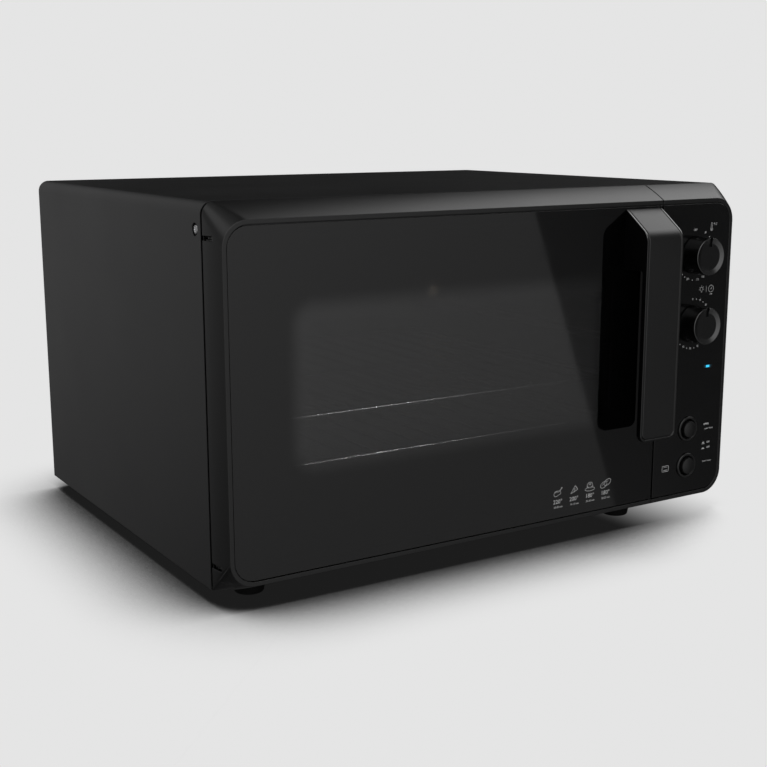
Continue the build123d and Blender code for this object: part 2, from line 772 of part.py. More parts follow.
def hinge_bush(low, pin_up):
    """Flanged bush in the stile, on the hinge pin."""
    bore = hinge_pin_radius + hinge_running_gap
    outer = bore + bush_wall
    if pin_up:
        seat = low + hinge_plate + hinge_play
        sleeve = rod_z(hinge_x, hinge_y, seat, seat + hinge_pin_length, outer)
        sleeve += rod_z(hinge_x, hinge_y, seat, seat + bush_flange, outer + 0.9)
    else:
        seat = low - hinge_play
        sleeve = rod_z(hinge_x, hinge_y, seat - hinge_pin_length, seat, outer)
        sleeve += rod_z(hinge_x, hinge_y, seat - bush_flange, seat, outer + 0.9)
    sleeve -= rod_z(hinge_x, hinge_y, low - 30, low + 30, bore)
    return sleeve


def hinge_pin(low, pin_up):
    """Hinge pin standing on the arm, on its riveted shoulder."""
    top = low + hinge_plate
    if pin_up:
        return rod_z(hinge_x, hinge_y, top, top + hinge_pin_length, hinge_pin_radius)
    return rod_z(hinge_x, hinge_y, low - hinge_pin_length, low, hinge_pin_radius)


# ---------------------------------------------------------------- handle

def handle_limits():
    """Left and right side of the handle."""
    right = door_right - handle_side_gap
    return right - handle_width, right


def handle_screw_places():
    """X and Z of the two handle screws."""
    left, right = handle_limits()
    return [((left + right) / 2, handle_top - drop) for drop in handle_screw_drops]


def handle_section():
    """Side view of the grip: a root on the glass, a sloped top and a flat bar that hangs free."""
    front = -handle_reach
    bar = front + handle_bar
    corners = [(0, handle_top), (front, handle_slope_end), (front, handle_bottom), (bar, handle_bottom),
               (bar, handle_root_bottom), (0, handle_root_bottom)]
    section = make_face(Polyline(*corners, close=True))
    bend = section.vertices().sort_by_distance((front, handle_slope_end))[0]
    section = fillet(bend, handle_bend)
    inner = section.vertices().sort_by_distance((bar, handle_root_bottom))[0]
    return fillet(inner, handle_bar / 2)


def handle():
    """Cantilever grip: its section drawn across, the foot rounded, its front edges chamfered."""
    left, right = handle_limits()
    grip = extrude(Plane.YZ.offset(left) * handle_section(), amount=right - left)
    foot = grip.edges().filter_by(Axis.Y).group_by(Axis.Z)[0]
    grip = fillet(foot, handle_corner)
    edges = []
    for face in grip.faces():
        normal = face.normal_at()
        if normal.Y < -0.3 and abs(normal.X) < 0.01 and normal.Z > -0.01:
            edges += [edge for edge in face.edges() if abs(edge.tangent_at(0.5).X) < 0.9]
    front = grip.faces().sort_by(Axis.Y)[0]
    edges += front.edges().filter_by(Axis.X).group_by(Axis.Z)[0]
    grip = chamfer(ShapeList(edges), handle_chamfer)
    for x, z in handle_screw_places():
        grip -= rod_y(x, -handle_screw_bite, 1, z, handle_screw_radius + running_gap)
    return grip


def handle_screws():
    """Two machine screws from behind the glass into the root of the handle."""
    group = []
    for x, z in handle_screw_places():
        shank = rod_y(x, 2 - handle_screw_bite, glass_thickness, z, handle_screw_radius)
        head = rod_y(x, glass_thickness, glass_thickness + 3, z, handle_screw_radius + 2.5)
        group.append(shank + head)
    return Compound(children=group)


# ---------------------------------------------------------------- control panel

def control_bezel():
    """Moulded surround of the control panel, in line with the door frame."""
    keep = slab(panel_left, width + 1, -1, bezel_rear + 1, -1, body_height + 1)
    bezel = bezel_loft(0) & keep
    bezel -= along_depth(glazing(glass_gap), -1, fascia_thickness)
    bezel -= along_depth(glazing(0, ledge_width / 2), 0, ledge_rear + 1) & slab(
        panel_left + bezel_wall, width, -1, bezel_rear, 0, body_height)
    bezel -= bezel_hollow(panel_left + bezel_wall, width)
    skirt_inset = bezel_wall - 1
    skirt = bezel_loft(skirt_inset) & slab(panel_left + skirt_inset, width, bezel_rear - 1, bezel_rear, 0,
                                           body_height)
    outer = extrude(skirt.faces().sort_by(Axis.Y)[-1], amount=frame_front - bezel_rear)
    outer += skirt
    reach = outer.bounding_box()
    inner = slab(reach.min.X + bezel_wall, reach.max.X - bezel_wall, bezel_rear - 2, frame_front + 1,
                 reach.min.Z + bezel_wall, reach.max.Z - bezel_wall)
    return bezel + (outer - inner)


def fascia():
    """Glossy control fascia, flush with the door glass, pierced for the controls."""
    sheet_outline = glazing(0) & front_view(panel_left, width, 0, body_height)
    plate = along_depth(sheet_outline, 0, fascia_thickness)
    for z in knob_heights.values():
        plate -= rod_y(control_x, -1, fascia_thickness + 1, z, spindle_hole)
    for z in button_heights.values():
        plate -= rod_y(control_x, -1, fascia_thickness + 1, z, button_barrel_radius + fit_gap)
    opening = Pos(lamp_slot_x, lamp_slot_z) * RectangleRounded(lamp_slot_width, lamp_slot_height, 1.4)
    return plate - along_depth(opening, -1, fascia_thickness + 1)


def indicator_lens():
    """Light pipe of the power indicator, with a flange glued behind the fascia."""
    gap = 0.1
    pipe = RectangleRounded(lamp_slot_width - 2 * gap, lamp_slot_height - 2 * gap, 1.3)
    rim = RectangleRounded(lamp_slot_width + 5, lamp_slot_height + 5, 2)
    lens = along_depth(Pos(lamp_slot_x, lamp_slot_z) * pipe, -0.2, fascia_thickness)
    return lens + along_depth(Pos(lamp_slot_x, lamp_slot_z) * rim, fascia_thickness, fascia_thickness + 2)


def control_bracket():
    """Sheet bracket on the face frame that carries the thermostat, timer and switches."""
    left = panel_left + bracket_side
    right = width - bracket_inset
    low = bracket_rise
    high = body_height - bracket_drop
    outline = front_view(left, right, low, high, 4, 4)
    bracket = along_depth(outline, bracket_y, bracket_y + sheet)
    for x in (left, right - sheet):
        bracket += slab(x, x + sheet, bracket_y, frame_front,
                        low + bracket_return, high - bracket_return)
    for z in knob_heights.values():
        bracket -= rod_y(control_x, bracket_y - 1, bracket_y + 2, z, bushing_radius + running_gap)
    for z in button_heights.values():
        bracket -= rod_y(control_x, bracket_y - 1, bracket_y + 2, z, plunger_radius + 0.5)
    return bracket


def spindle_bore():
    """Bore that a control's spindle runs in."""
    return shaft_radius + running_gap


def thermostat():
    """Capillary thermostat: square steel body, threaded nose, two blade terminals."""
    z = knob_heights["temperature"]
    seat = bracket_y + sheet
    outline = Pos(control_x, z) * RectangleRounded(thermostat_size, thermostat_size, 4)
    body = along_depth(outline, seat, seat + thermostat_depth)
    body += rod_y(control_x, seat - bushing_length - sheet, seat + 1, z, bushing_radius)
    rear = seat + thermostat_depth
    half = terminal_thickness / 2
    for side in (-1, 1):
        x = control_x + side * terminal_spread
        body += slab(x - terminal_width / 2, x + terminal_width / 2, rear - 1, rear + terminal_length,
                     z - half, z + half)
    return body - rod_y(control_x, seat - bushing_length - 2, seat + 8, z, spindle_bore())


def timer():
    """Clockwork timer: round case with its bell behind and a threaded nose."""
    z = knob_heights["timer"]
    seat = bracket_y + sheet
    bell_front = timer_case_depth + timer_bell_gap
    bell_rear = bell_front + timer_bell_depth
    case = [(0, 0), (timer_case_radius, 0), (timer_case_radius, timer_case_depth),
            (bushing_radius, timer_case_depth), (bushing_radius, bell_front),
            (timer_bell_radius, bell_front), (timer_bell_radius, bell_rear - timer_bell_depth / 2),
            (timer_bell_radius * 0.75, bell_rear - 1), (0, bell_rear)]
    body = turned([(radius, seat + y) for radius, y in case], control_x, z)
    body += rod_y(control_x, seat - bushing_length - sheet, seat + 1, z, bushing_radius)
    return body - rod_y(control_x, seat - bushing_length - 2, seat + 8, z, spindle_bore())


def spindle(z):
    """Control spindle with a flat for the knob."""
    front = -knob_front + 5
    rear = bracket_y + sheet + 6
    flat_end = 1 - knob_gap - knob_hub_setback
    shaft = rod_y(control_x, front, rear, z, shaft_radius)
    return shaft - slab(control_x - shaft_radius, control_x + shaft_radius, front - 1, flat_end,
                        z - shaft_radius - 1, z - shaft_radius + shaft_flat)


def knob(z):
    """Hollow round knob: chamfered rim, dished face, hub with a flatted bore, pointer groove."""
    front = -knob_front
    back = -knob_gap
    bore = shaft_radius + 0.05
    outline = [(0, front + 1.2), (knob_radius - 4.5, front + 1.2), (knob_radius - 3.7, front),
               (knob_radius - 1.0, front), (knob_radius, front + 1.0), (knob_base_radius - 0.3, back - 3),
               (knob_base_radius, back - 2), (knob_base_radius, back), (knob_base_radius - knob_wall, back),
               (knob_radius - knob_wall - 0.6, front + 4.2), (knob_hub_radius, front + 4.2),
               (knob_hub_radius, back - knob_hub_setback), (0, back - knob_hub_setback)]
    body = turned(outline, control_x, z)
    flat_top = z - shaft_radius + shaft_flat - 0.1
    flat = slab(control_x - bore, control_x + bore, front, back + 1, z - bore - 1, flat_top)
    body -= rod_y(control_x, front + 4.8, back, z, bore) - flat
    groove = slab(control_x - knob_groove / 2, control_x + knob_groove / 2, front - 1, front + 2.2,
                  z + knob_radius - 8.5, z + knob_base_radius + 1)
    return body - groove


def button_ring(z):
    """Round surround of a push button, seated on the fascia."""
    bore = button_radius + button_gap
    outline = [(bore + 1.6, -button_ring_height), (button_ring_radius - 0.8, -button_ring_height),
               (button_ring_radius, -button_ring_height + 0.8), (button_ring_radius, 0),
               (button_barrel_radius, 0), (button_barrel_radius, bracket_y - fit_gap),
               (bore, bracket_y - fit_gap), (bore, -button_ring_height + 1.2)]
    return turned(outline, control_x, z)


def push_button(z):
    """Domed push button with a skirt inside its ring and a plunger into the switch."""
    crown = -button_proud
    shoulder = crown + button_dome
    skirt = bracket_y - button_travel - 4
    rear = bracket_y + sheet + plunger_reach
    inner = button_radius - button_wall
    dome = JernArc(start=(0, crown), tangent=(1, 0), radius=dome_radius(), arc_size=dome_angle())
    side = Polyline(dome @ 1, (button_radius, skirt), (inner, skirt), (inner, shoulder + 3),
                    (plunger_radius, shoulder + 3), (plunger_radius, rear), (0, rear), (0, crown))
    face = make_face([dome, side])
    return Pos(control_x, 0, z) * revolve(face, Axis.Y, 360)


def dome_radius():
    """Radius of the sphere that gives the button its dome."""
    return (button_radius ** 2 + button_dome ** 2) / (2 * button_dome)


def dome_angle():
    """Angle of the dome's arc from the crown to the edge, in degrees."""
    return math.degrees(math.asin(button_radius / dome_radius()))


def push_switch(z):
    """Push switch behind the bracket, with the bore that its plunger works in."""
    seat = bracket_y + sheet
    rear = seat + switch_depth
    body = slab(control_x - switch_width / 2, control_x + switch_width / 2, seat, rear,
                z - switch_height / 2, z + switch_height / 2)
    body -= rod_y(control_x, seat - 1, seat + plunger_reach + button_travel + 1.5, z, plunger_radius + 0.1)
    half = terminal_thickness / 2
    for side in (-1, 1):
        x = control_x + side * switch_width / 4
        body += slab(x - half, x + half, rear - 0.5, rear + terminal_length,
                     z - terminal_width / 2, z + terminal_width / 2)
    return body


# ---------------------------------------------------------------- feet and cord inlet

def foot(x, y):
    """Rubber foot with a screw recess, tapered towards the ground."""
    low = -foot_height
    hole = screw_radius + running_gap
    recess = screw_head_radius + 1.2
    points = [(hole, sheet), (foot_radius, sheet), (foot_radius, sheet - 4), (foot_radius - 2, low),
              (recess, low), (recess, low + foot_recess), (hole, low + foot_recess)]
    face = Plane.XZ * make_face(Polyline(*points, close=True))
    return Pos(x, y, 0) * revolve(face, Axis.Z, 360)


def foot_screws():
    """One screw up through each foot into the base pan."""
    group = []
    head = foot_recess - foot_height
    length = 4 * sheet - head
    for x in foot_columns:
        for y in (foot_front_y, foot_rear_y):
            group.append(Pos(x, y, head) * Rot(180, 0, 0) * screw(length))
    return Compound(children=group)


def cord_bush():
    """Strain-free inlet bush in the back panel, flush inside the rear recess."""
    rear = depth - sheet
    neck = cord_hole_radius - 0.1
    front = rear - cord_bush_length
    points = [(cord_bore_radius, rear + sheet), (cord_hole_radius + 3, rear + sheet),
              (cord_hole_radius + 3, rear), (neck, rear), (neck, rear - sheet),
              (cord_hole_radius + 2, rear - sheet), (cord_hole_radius + 2, rear - sheet - cord_bush_flange),
              (cord_bore_radius + 2, front), (cord_bore_radius, front)]
    return turned(points, cord_x, cord_z)


# ---------------------------------------------------------------- the whole oven

def build_parts():
    """Every piece of the oven by its node name."""
    lower_arm = hinge_lower_z - hinge_plate
    pieces = {
        "outer_wrapper": outer_wrapper(),
        "front_frame": front_frame(),
        "base_pan": base_pan(),
        "back_panel": back_panel(),
        "rear_support": rear_support(),
        "side_screws": side_screws(),
        "back_screws": back_screws(),
        "cavity_liner": cavity_liner(),
        "crumb_tray": crumb_tray(),
        "heater_lower": heater(heater_lower_z),
        "heater_upper": heater(heater_upper_z),
        "heater_clips": heater_clips(),
        "lamp_cover": lamp_cover(),
        "lamp_bulb": lamp_bulb(),
        "lamp_holder": lamp_holder(),
        "hinge_arm_lower": hinge_arm(lower_arm, True),
        "hinge_arm_upper": hinge_arm(hinge_upper_z, False),
        "hinge_pin_lower": hinge_pin(lower_arm, True),
        "hinge_pin_upper": hinge_pin(hinge_upper_z, False),
        "hinge_bush_lower": hinge_bush(lower_arm, True),
        "hinge_bush_upper": hinge_bush(hinge_upper_z, False),
        "catch_magnet": catch_magnet(),
        "catch_striker": catch_striker(),
        "door_frame": door_frame(),
        "door_glass": door_glass(),
        "door_inner_panel": door_inner_panel(),
        "door_inner_glass": door_inner_glass(),
        "door_gasket": door_gasket(),
        "door_screws": door_screws(),
        "handle": handle(),
        "handle_screws": handle_screws(),
        "control_bezel": control_bezel(),
        "control_fascia": fascia(),
        "control_bracket": control_bracket(),
        "indicator_lens": indicator_lens(),
        "thermostat": thermostat(),
        "timer": timer(),
        "foot_screws": foot_screws(),
        "cord_bush": cord_bush(),
    }
    for level, name in zip(rack_levels, ("rack_lower", "rack_upper")):
        pieces[name] = wire_rack(level)
    for name, z in knob_heights.items():
        pieces[name + "_knob"] = knob(z)
        pieces[name + "_spindle"] = spindle(z)
    for name, z in button_heights.items():
        pieces[name + "_button"] = push_button(z)
        pieces[name + "_button_ring"] = button_ring(z)
        pieces[name + "_switch"] = push_switch(z)
    for side, x in zip(("left", "right"), foot_columns):
        pieces["foot_front_" + side] = foot(x, foot_front_y)
        pieces["foot_rear_" + side] = foot(x, foot_rear_y)
    return pieces


def main():
    """Move every piece into the oven's own frame and write it."""
    os.makedirs("parts", exist_ok=True)
    rear_reach = depth + screw_head_height
    to_frame = Pos(-width / 2, (handle_reach - rear_reach) / 2, foot_height)
    for name, piece in build_parts().items():
        export_step(to_frame * piece, "parts/" + name + ".step")


main()
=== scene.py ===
import json
import math

import bmesh
import bpy
import numpy as np
from bpy.props import FloatProperty, FloatVectorProperty, PointerProperty
from mathutils import Matrix, Vector


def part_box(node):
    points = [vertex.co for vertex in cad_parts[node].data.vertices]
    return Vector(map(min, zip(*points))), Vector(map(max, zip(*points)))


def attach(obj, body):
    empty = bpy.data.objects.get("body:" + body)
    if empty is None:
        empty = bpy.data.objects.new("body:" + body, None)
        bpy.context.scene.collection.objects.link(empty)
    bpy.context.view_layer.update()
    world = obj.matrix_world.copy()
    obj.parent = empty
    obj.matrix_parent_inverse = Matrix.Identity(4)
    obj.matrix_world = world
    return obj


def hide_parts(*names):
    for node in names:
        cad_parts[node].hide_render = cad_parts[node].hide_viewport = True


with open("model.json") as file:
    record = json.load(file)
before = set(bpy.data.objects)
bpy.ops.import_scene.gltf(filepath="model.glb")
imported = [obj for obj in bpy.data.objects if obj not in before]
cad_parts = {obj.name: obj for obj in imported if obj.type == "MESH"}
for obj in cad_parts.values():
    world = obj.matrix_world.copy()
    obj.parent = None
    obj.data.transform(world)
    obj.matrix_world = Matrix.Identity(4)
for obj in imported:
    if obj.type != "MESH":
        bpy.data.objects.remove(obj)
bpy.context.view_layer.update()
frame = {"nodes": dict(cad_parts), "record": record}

bl_info = {
    "name": "Bench oven finish",
    "version": (1, 1, 0),
    "blender": (4, 5, 0),
    "location": "3D View > Sidebar > Bench oven",
    "description": "Finishes, controls, printed marks and studio of a bench oven with a glass door",
    "category": "Object",
}

MM = 0.001
# Corners of a mesh nearer than this, in metres, are one.
WELD = 2e-6
# Added to a length before dividing by it, so that a length of nothing does no harm.
TINY = 1e-12
# Faces that meet at less than this many degrees shade as one smooth surface.
CREASE = 38.0
BODIES = frame["record"]["behaviour"]["bodies"]
BODY_OF = {node: body for body, nodes in BODIES.items() for node in nodes}
SLOT_OF = {part["node"]: part["material_slot"] for part in frame["record"]["subparts"]}

# Shapes are drawn in millimetres from the body's lower left corner, in the plane of the front glass:
# X to the right, Y to the rear, Z up.
BODY_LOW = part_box("outer_wrapper")[0]
ORIGIN = np.array([BODY_LOW[0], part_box("door_glass")[0][1], BODY_LOW[2]])


def drawn(node):
    """A node's lowest and highest corners in drawing millimetres."""
    low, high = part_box(node)
    return (np.array(low) - ORIGIN) / MM, (np.array(high) - ORIGIN) / MM


def on_axis(node, axis):
    """A node's middle, with 0 along an axis: the line that a profile is turned about."""
    middle = sum(drawn(node)) / 2
    middle["XYZ".index(axis)] = 0.0
    return middle


def unit(vectors):
    """Vectors along the last axis, each brought to a length of one."""
    return vectors / (np.linalg.norm(vectors, axis=-1, keepdims=True) + TINY)


# ------------------------------------------------------------------ properties

def colour(name, description, default):
    """A colour property with its own default."""
    return FloatVectorProperty(name=name, description=description, default=default, size=3,
                               subtype="COLOR", min=0.0, max=1.0)


def length(name, description, default):
    """A length property, given in millimetres and kept in metres."""
    return FloatProperty(name=name, description=description, default=default * MM, unit="LENGTH")


def share(name, description, default):
    """A property between 0 and 1."""
    return FloatProperty(name=name, description=description, default=default, min=0.0, max=1.0,
                         subtype="FACTOR")


class OvenFinish(bpy.types.PropertyGroup):
    """Colours and small sizes of the oven's finishes."""

    coat: colour("Coat", "Baked satin paint of the body", (0.0060, 0.0060, 0.0063))
    plastic: colour("Bezel", "Satin plastic of the bezel", (0.0030, 0.0030, 0.0031))
    grip: colour("Handle", "Satin plastic of the handle and the knobs", (0.0014, 0.0014, 0.0015))
    glass: colour("Glass", "Black printed glass and fascia", (0.0010, 0.0010, 0.0011))
    ink: colour("Print", "Printed marks on the glass and the fascia", (0.42, 0.42, 0.42))
    indicator: colour("Indicator", "Lit indicator lens", (0.03, 0.55, 0.90))
    edge: length("Edge rounding", "How far shading softens a folded or moulded edge", 0.9)
    window_fade: length("Window fade", "Width of the soft border of the viewing window", 27.0)
    window_inset: length("Window inset", "Inner pane's edge to the middle of that border", 19.5)
    window_drop: length("Window drop", "Further inset of the window's upper edge", 2.0)
    window_clear: share("Window clarity", "Share of light that passes the window", 0.60)
    print_clear: share("Print clarity", "Share of light that passes the black print", 0.05)


class OvenShape(bpy.types.PropertyGroup):
    """Sizes of the pieces that are drawn here."""

    handle_slope: length("Handle slope", "Height of the handle's sloped top", 23.0)
    handle_root: length("Handle root", "Height of the handle's root on the glass", 57.5)
    handle_bar: length("Handle bar", "Thickness of the handle's free bar", 5.6)
    handle_bend: length("Handle bend", "Radius between the sloped top and the front", 15.0)
    handle_foot: length("Handle foot", "Radius of the handle's lower corners", 8.0)
    handle_edge: length("Handle edge", "Radius along the handle's long front edges", 0.8)
    handle_rim: length("Handle rim", "Width of the rim round the handle's front", 2.2)
    handle_groove: length("Handle groove", "Width of the groove inside the rim", 0.9)
    bezel_crown: length("Bezel crown", "How far the bevel stands out between its edges", 0.7)
    glass_joint: length("Glass joint", "How far the panes reach into the joint round them", 0.9)
    glass_rise: length("Glass rise", "How far they reach into it above and below", 0.1)
    seam: length("Seam", "How far each pane ends short of the seam beside the door", 0.5)
    knob_face: length("Knob face", "Radius of the knob's flat face", 13.3)
    knob_dish: length("Knob dish", "Depth of the knob's face below its rim", 1.2)
    knob_groove: length("Pointer groove", "Width of the knob's pointer groove", 3.4)
    screw_recess: length("Screw recess", "Depth of the cross in a screw head", 1.2)
    ink_height: length("Ink height", "How far the printed marks stand off the glass", 0.05)


class OvenStudio(bpy.types.PropertyGroup):
    """Camera, light and backdrop."""

    camera_x: length("Camera X", "Camera position, left to right", -709.93)
    camera_y: length("Camera Y", "Camera position, front to rear", -1138.30)
    camera_z: length("Camera Z", "Camera height", 406.43)
    yaw: FloatProperty(name="Yaw", description="Turn of the view to the right", unit="ROTATION",
                       default=math.radians(-31.879))
    pitch: FloatProperty(name="Pitch", description="Tilt of the view upwards", unit="ROTATION",
                         default=math.radians(-11.617))
    roll: FloatProperty(name="Roll", description="Roll of the view", unit="ROTATION",
                        default=math.radians(-0.097))
    lens: FloatProperty(name="Lens", description="Focal length in millimetres", default=59.83)
    backdrop: share("Backdrop", "Brightness of the backdrop as it is seen", 0.783)
    ambient: FloatProperty(name="Ambient", description="Brightness of the even studio light",
                           default=0.98, min=0.0)
    shadow: length("Shadow reach", "How far from the oven the floor's shadow reaches", 130.0)
    floor_tone: share("Floor", "Tone of the floor", 0.80)


# ------------------------------------------------------------------ shader writing

class Field:
    """A socket that takes part in sums: every operator adds one Math node."""

    def __init__(self, tree, socket):
        self.tree = tree
        self.socket = socket

    def math(self, operation, *others):
        return self.tree.math(operation, self, *others)

    def __add__(self, other):
        return self.math("ADD", other)

    def __radd__(self, other):
        return self.tree.math("ADD", other, self)

    def __sub__(self, other):
        return self.math("SUBTRACT", other)

    def __rsub__(self, other):
        return self.tree.math("SUBTRACT", other, self)

    def __mul__(self, other):
        return self.math("MULTIPLY", other)

    def __rmul__(self, other):
        return self.tree.math("MULTIPLY", other, self)

    def __truediv__(self, other):
        return self.math("DIVIDE", other)

    def __rtruediv__(self, other):
        return self.tree.math("DIVIDE", other, self)

    def __abs__(self):
        return self.math("ABSOLUTE")

    def ramp(self, low, high):
        """0 below low, 1 above high, smooth between."""
        settings = {"interpolation_type": "SMOOTHSTEP"}
        values = {"Value": self, "From Min": low, "From Max": high}
        return self.tree.node("ShaderNodeMapRange", settings, values)


class Tree:
    """A node tree, written as sums of fields."""

    def __init__(self, tree, output):
        self.tree = tree
        self.tree.nodes.clear()
        self.output = self.tree.nodes.new(output)

    def plug(self, socket, value):
        """Link a field, or write a plain value."""
        if isinstance(value, Field):
            self.tree.links.new(value.socket, socket)
        else:
            socket.default_value = value

    def node(self, kind, settings=None, sockets=None, output=0):
        """Add a node: its settings first, then its sockets, by name or number."""
        made = self.tree.nodes.new(kind)
        for key, value in (settings or {}).items():
            setattr(made, key, value)
        for key, value in (sockets or {}).items():
            self.plug(made.inputs[key], value)
        return Field(self, made.outputs[output])

    def math(self, operation, *values):
        """One Math node on fields or plain numbers."""
        return self.node("ShaderNodeMath", {"operation": operation}, dict(enumerate(values)))

    def place(self, output="Object"):
        """Coordinates as a vector and as three fields."""
        point = self.node("ShaderNodeTexCoord", output=output)
        split = self.tree.nodes.new("ShaderNodeSeparateXYZ")
        self.plug(split.inputs[0], point)
        return point, [Field(self, split.outputs[axis]) for axis in range(3)]

    def noise(self, point, scale, detail=3.0, roughness=0.5, stretch=(1.0, 1.0, 1.0)):
        """Noise about 0.5 at a scale in cycles per metre."""
        scaled = self.node("ShaderNodeVectorMath", {"operation": "MULTIPLY"}, {0: point, 1: stretch})
        sockets = {"Vector": scaled, "Scale": scale, "Detail": detail, "Roughness": roughness}
        return self.node("ShaderNodeTexNoise", None, sockets)

    def blend(self, factor, first, second):
        """Mix two colours by a field."""
        mix = self.tree.nodes.new("ShaderNodeMix")
        mix.data_type = "RGBA"
        colours = [socket for socket in mix.inputs if socket.type == "RGBA"]
        self.plug(mix.inputs[0], factor)
        self.plug(colours[0], first)
        self.plug(colours[1], second)
        result = [socket for socket in mix.outputs if socket.type == "RGBA"][0]
        return Field(self, result)


class Shader(Tree):
    """The node tree of one material."""

    def __init__(self, name):
        self.material = bpy.data.materials.new(name)
        self.material.use_nodes = True
        super().__init__(self.material.node_tree, "ShaderNodeOutputMaterial")

    def soft_edges(self, radius):
        """Normals that round every edge within a radius."""
        return self.node("ShaderNodeBevel", {"samples": 6}, {"Radius": radius})

    def bumped(self, height, strength, distance, normal):
        """Normals disturbed by a height field."""
        sockets = {"Height": height, "Strength": strength, "Distance": distance, "Normal": normal}
        return self.node("ShaderNodeBump", None, sockets)

    def principled(self, **sockets):
        """The main surface shader, joined to the output."""
        values = {key.replace("_", " "): value for key, value in sockets.items()}
        made = self.node("ShaderNodeBsdfPrincipled", None, values)
        self.plug(self.output.inputs["Surface"], made)


def rgba(shade, factor=1.0):
    """A colour property as four numbers, scaled."""
    return tuple(min(1.0, channel * factor) for channel in shade) + (1.0,)


# ------------------------------------------------------------------ surfaces

class Surface:
    """Grids of points, in drawing millimetres, that become one closed mesh."""

    def __init__(self):
        self.points = []
        self.faces = []
        self.count = 0

    def add(self, grid, ring=True, caps=False):
        """Add rows by columns of points. Each point joins its neighbours in its row and its column; a
        ring closes every row on itself, and caps fill the first and the last row."""
        grid = np.asarray(grid, dtype=float)
        rows, columns = grid.shape[:2]
        index = np.arange(rows * columns).reshape(rows, columns) + self.count
        if caps:
            self.faces.append(index[0].tolist())
            self.faces.append(index[-1].tolist())
        if ring:
            index = np.concatenate([index, index[:, :1]], axis=1)
        quads = np.stack([index[:-1, :-1], index[:-1, 1:], index[1:, 1:], index[1:, :-1]], axis=-1)
        self.faces.extend(quads.reshape(-1, 4).tolist())
        self.points.append(grid.reshape(-1, 3))
        self.count += rows * columns
        return self

    def add_mesh(self, points, faces):
        """Add ready points and faces."""
        self.points.append(points)
        self.faces.extend([[corner + self.count for corner in face] for face in faces])
        self.count += len(points)

    def piece(self, name, material, node, replaces=True, sharp=CREASE, trims=(), kinds=None):
        """Make the mesh an object that rides with a CAD node's body, and stands for that node. Kinds
        says of each face whether it has the main material, 0, or one of the trims, from 1 on."""
        mesh = bpy.data.meshes.new(name)
        mesh.from_pydata((np.concatenate(self.points) * MM + ORIGIN).tolist(), [], self.faces)
        for finish in (material, *trims):
            mesh.materials.append(finish)
        if trims:
            mesh.polygons.foreach_set("material_index", kinds.astype(np.int32))
        seat(mesh, node, replaces, sharp)


def seat(mesh, node, replaces=True, sharp=CREASE):
    """Weld a mesh, turn its faces outwards, smooth it up to an angle and put it on its body."""
    work = bmesh.new()
    work.from_mesh(mesh)
    bmesh.ops.remove_doubles(work, verts=work.verts, dist=WELD)
    bmesh.ops.recalc_face_normals(work, faces=work.faces)
    work.normal_update()
    for face in work.faces:
        face.smooth = True
    for edge in work.edges:
        edge.smooth = edge.is_manifold and edge.calc_face_angle() < math.radians(sharp)
    work.to_mesh(mesh)
    work.free()
    obj = bpy.data.objects.new(mesh.name, mesh)
    bpy.context.scene.collection.objects.link(obj)
    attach(obj, BODY_OF[node])
    if replaces:
        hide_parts(node)


def refined(nodes, material, sharp=CREASE, grow=(0.0, 0.0, 0.0)):
    """Carry nodes over as welded copies, whose round faces shade smoothly. A pane may grow to the left,
    to the right, and both up and down, to close part of the joint round it."""
    for node in nodes:
        source = frame["nodes"][node].data
        points = np.empty(len(source.vertices) * 3)
        source.vertices.foreach_get("co", points)
        points = points.reshape(-1, 3)
        middle = (points.min(0) + points.max(0)) / 2
        points[:, 0] += np.where(points[:, 0] < middle[0], -grow[0], grow[1])
        points[:, 2] += np.sign(points[:, 2] - middle[2]) * grow[2]
        faces = [tuple(face.vertices) for face in source.polygons]
        mesh = bpy.data.meshes.new(node + "_skin")
        mesh.from_pydata(points.tolist(), [], faces)
        mesh.materials.append(material)
        seat(mesh, node, sharp=sharp)


def dress(nodes, material):
    """Give CAD nodes a material in every slot they have."""
    for name in nodes:
        obj = frame["nodes"][name]
        if not obj.material_slots:
            obj.data.materials.append(material)
        for slot in obj.material_slots:
            slot.material = material


def islands(node):
    """The box of each solid of a node, in drawing millimetres: welded faces that hang together."""
    work = bmesh.new()
    work.from_mesh(frame["nodes"][node].data)
    bmesh.ops.remove_doubles(work, verts=work.verts, dist=WELD)
    left = set(work.verts)
    boxes = []
    while left:
        found = [left.pop()]
        for vertex in found:
            near = {edge.other_vert(vertex) for edge in vertex.link_edges} & left
            left -= near
            found.extend(near)
        points = (np.array([vertex.co for vertex in found]) - ORIGIN) / MM
        boxes.append((points.min(0), points.max(0)))
    work.free()
    return sorted(boxes, key=lambda box: tuple(box[0].round(2)))


def rounded(corners, radii, steps=6):
    """A closed path through corners, each replaced by an arc that touches both its sides: the arc's
    centre lies on the bisector at radius / sin(half the corner), and its points swing evenly from one
    side to the other. Leading axes are carried along, so many paths are worked out at once."""
    corners = np.asarray(corners, dtype=float)
    radii = np.broadcast_to(radii, corners.shape[:-1])[..., None]
    before = unit(np.roll(corners, 1, axis=-2) - corners)
    after = unit(np.roll(corners, -1, axis=-2) - corners)
    cosine = np.clip((before * after).sum(-1, keepdims=True), -0.999999, 0.999999)
    half = np.arccos(cosine) / 2
    centre = corners + unit(before + after) * radii / np.sin(half)
    first = corners + before * radii / np.tan(half) - centre
    last = corners + after * radii / np.tan(half) - centre
    sweep = math.pi - 2 * half
    turn = np.linspace(0, 1, steps)
    weights = [np.sin((1 - turn) * sweep) / np.sin(sweep), np.sin(turn * sweep) / np.sin(sweep)]
    path = (centre[..., None, :] + weights[0][..., None] * first[..., None, :]
            + weights[1][..., None] * last[..., None, :])
    return path.reshape(corners.shape[:-2] + (-1, 2))


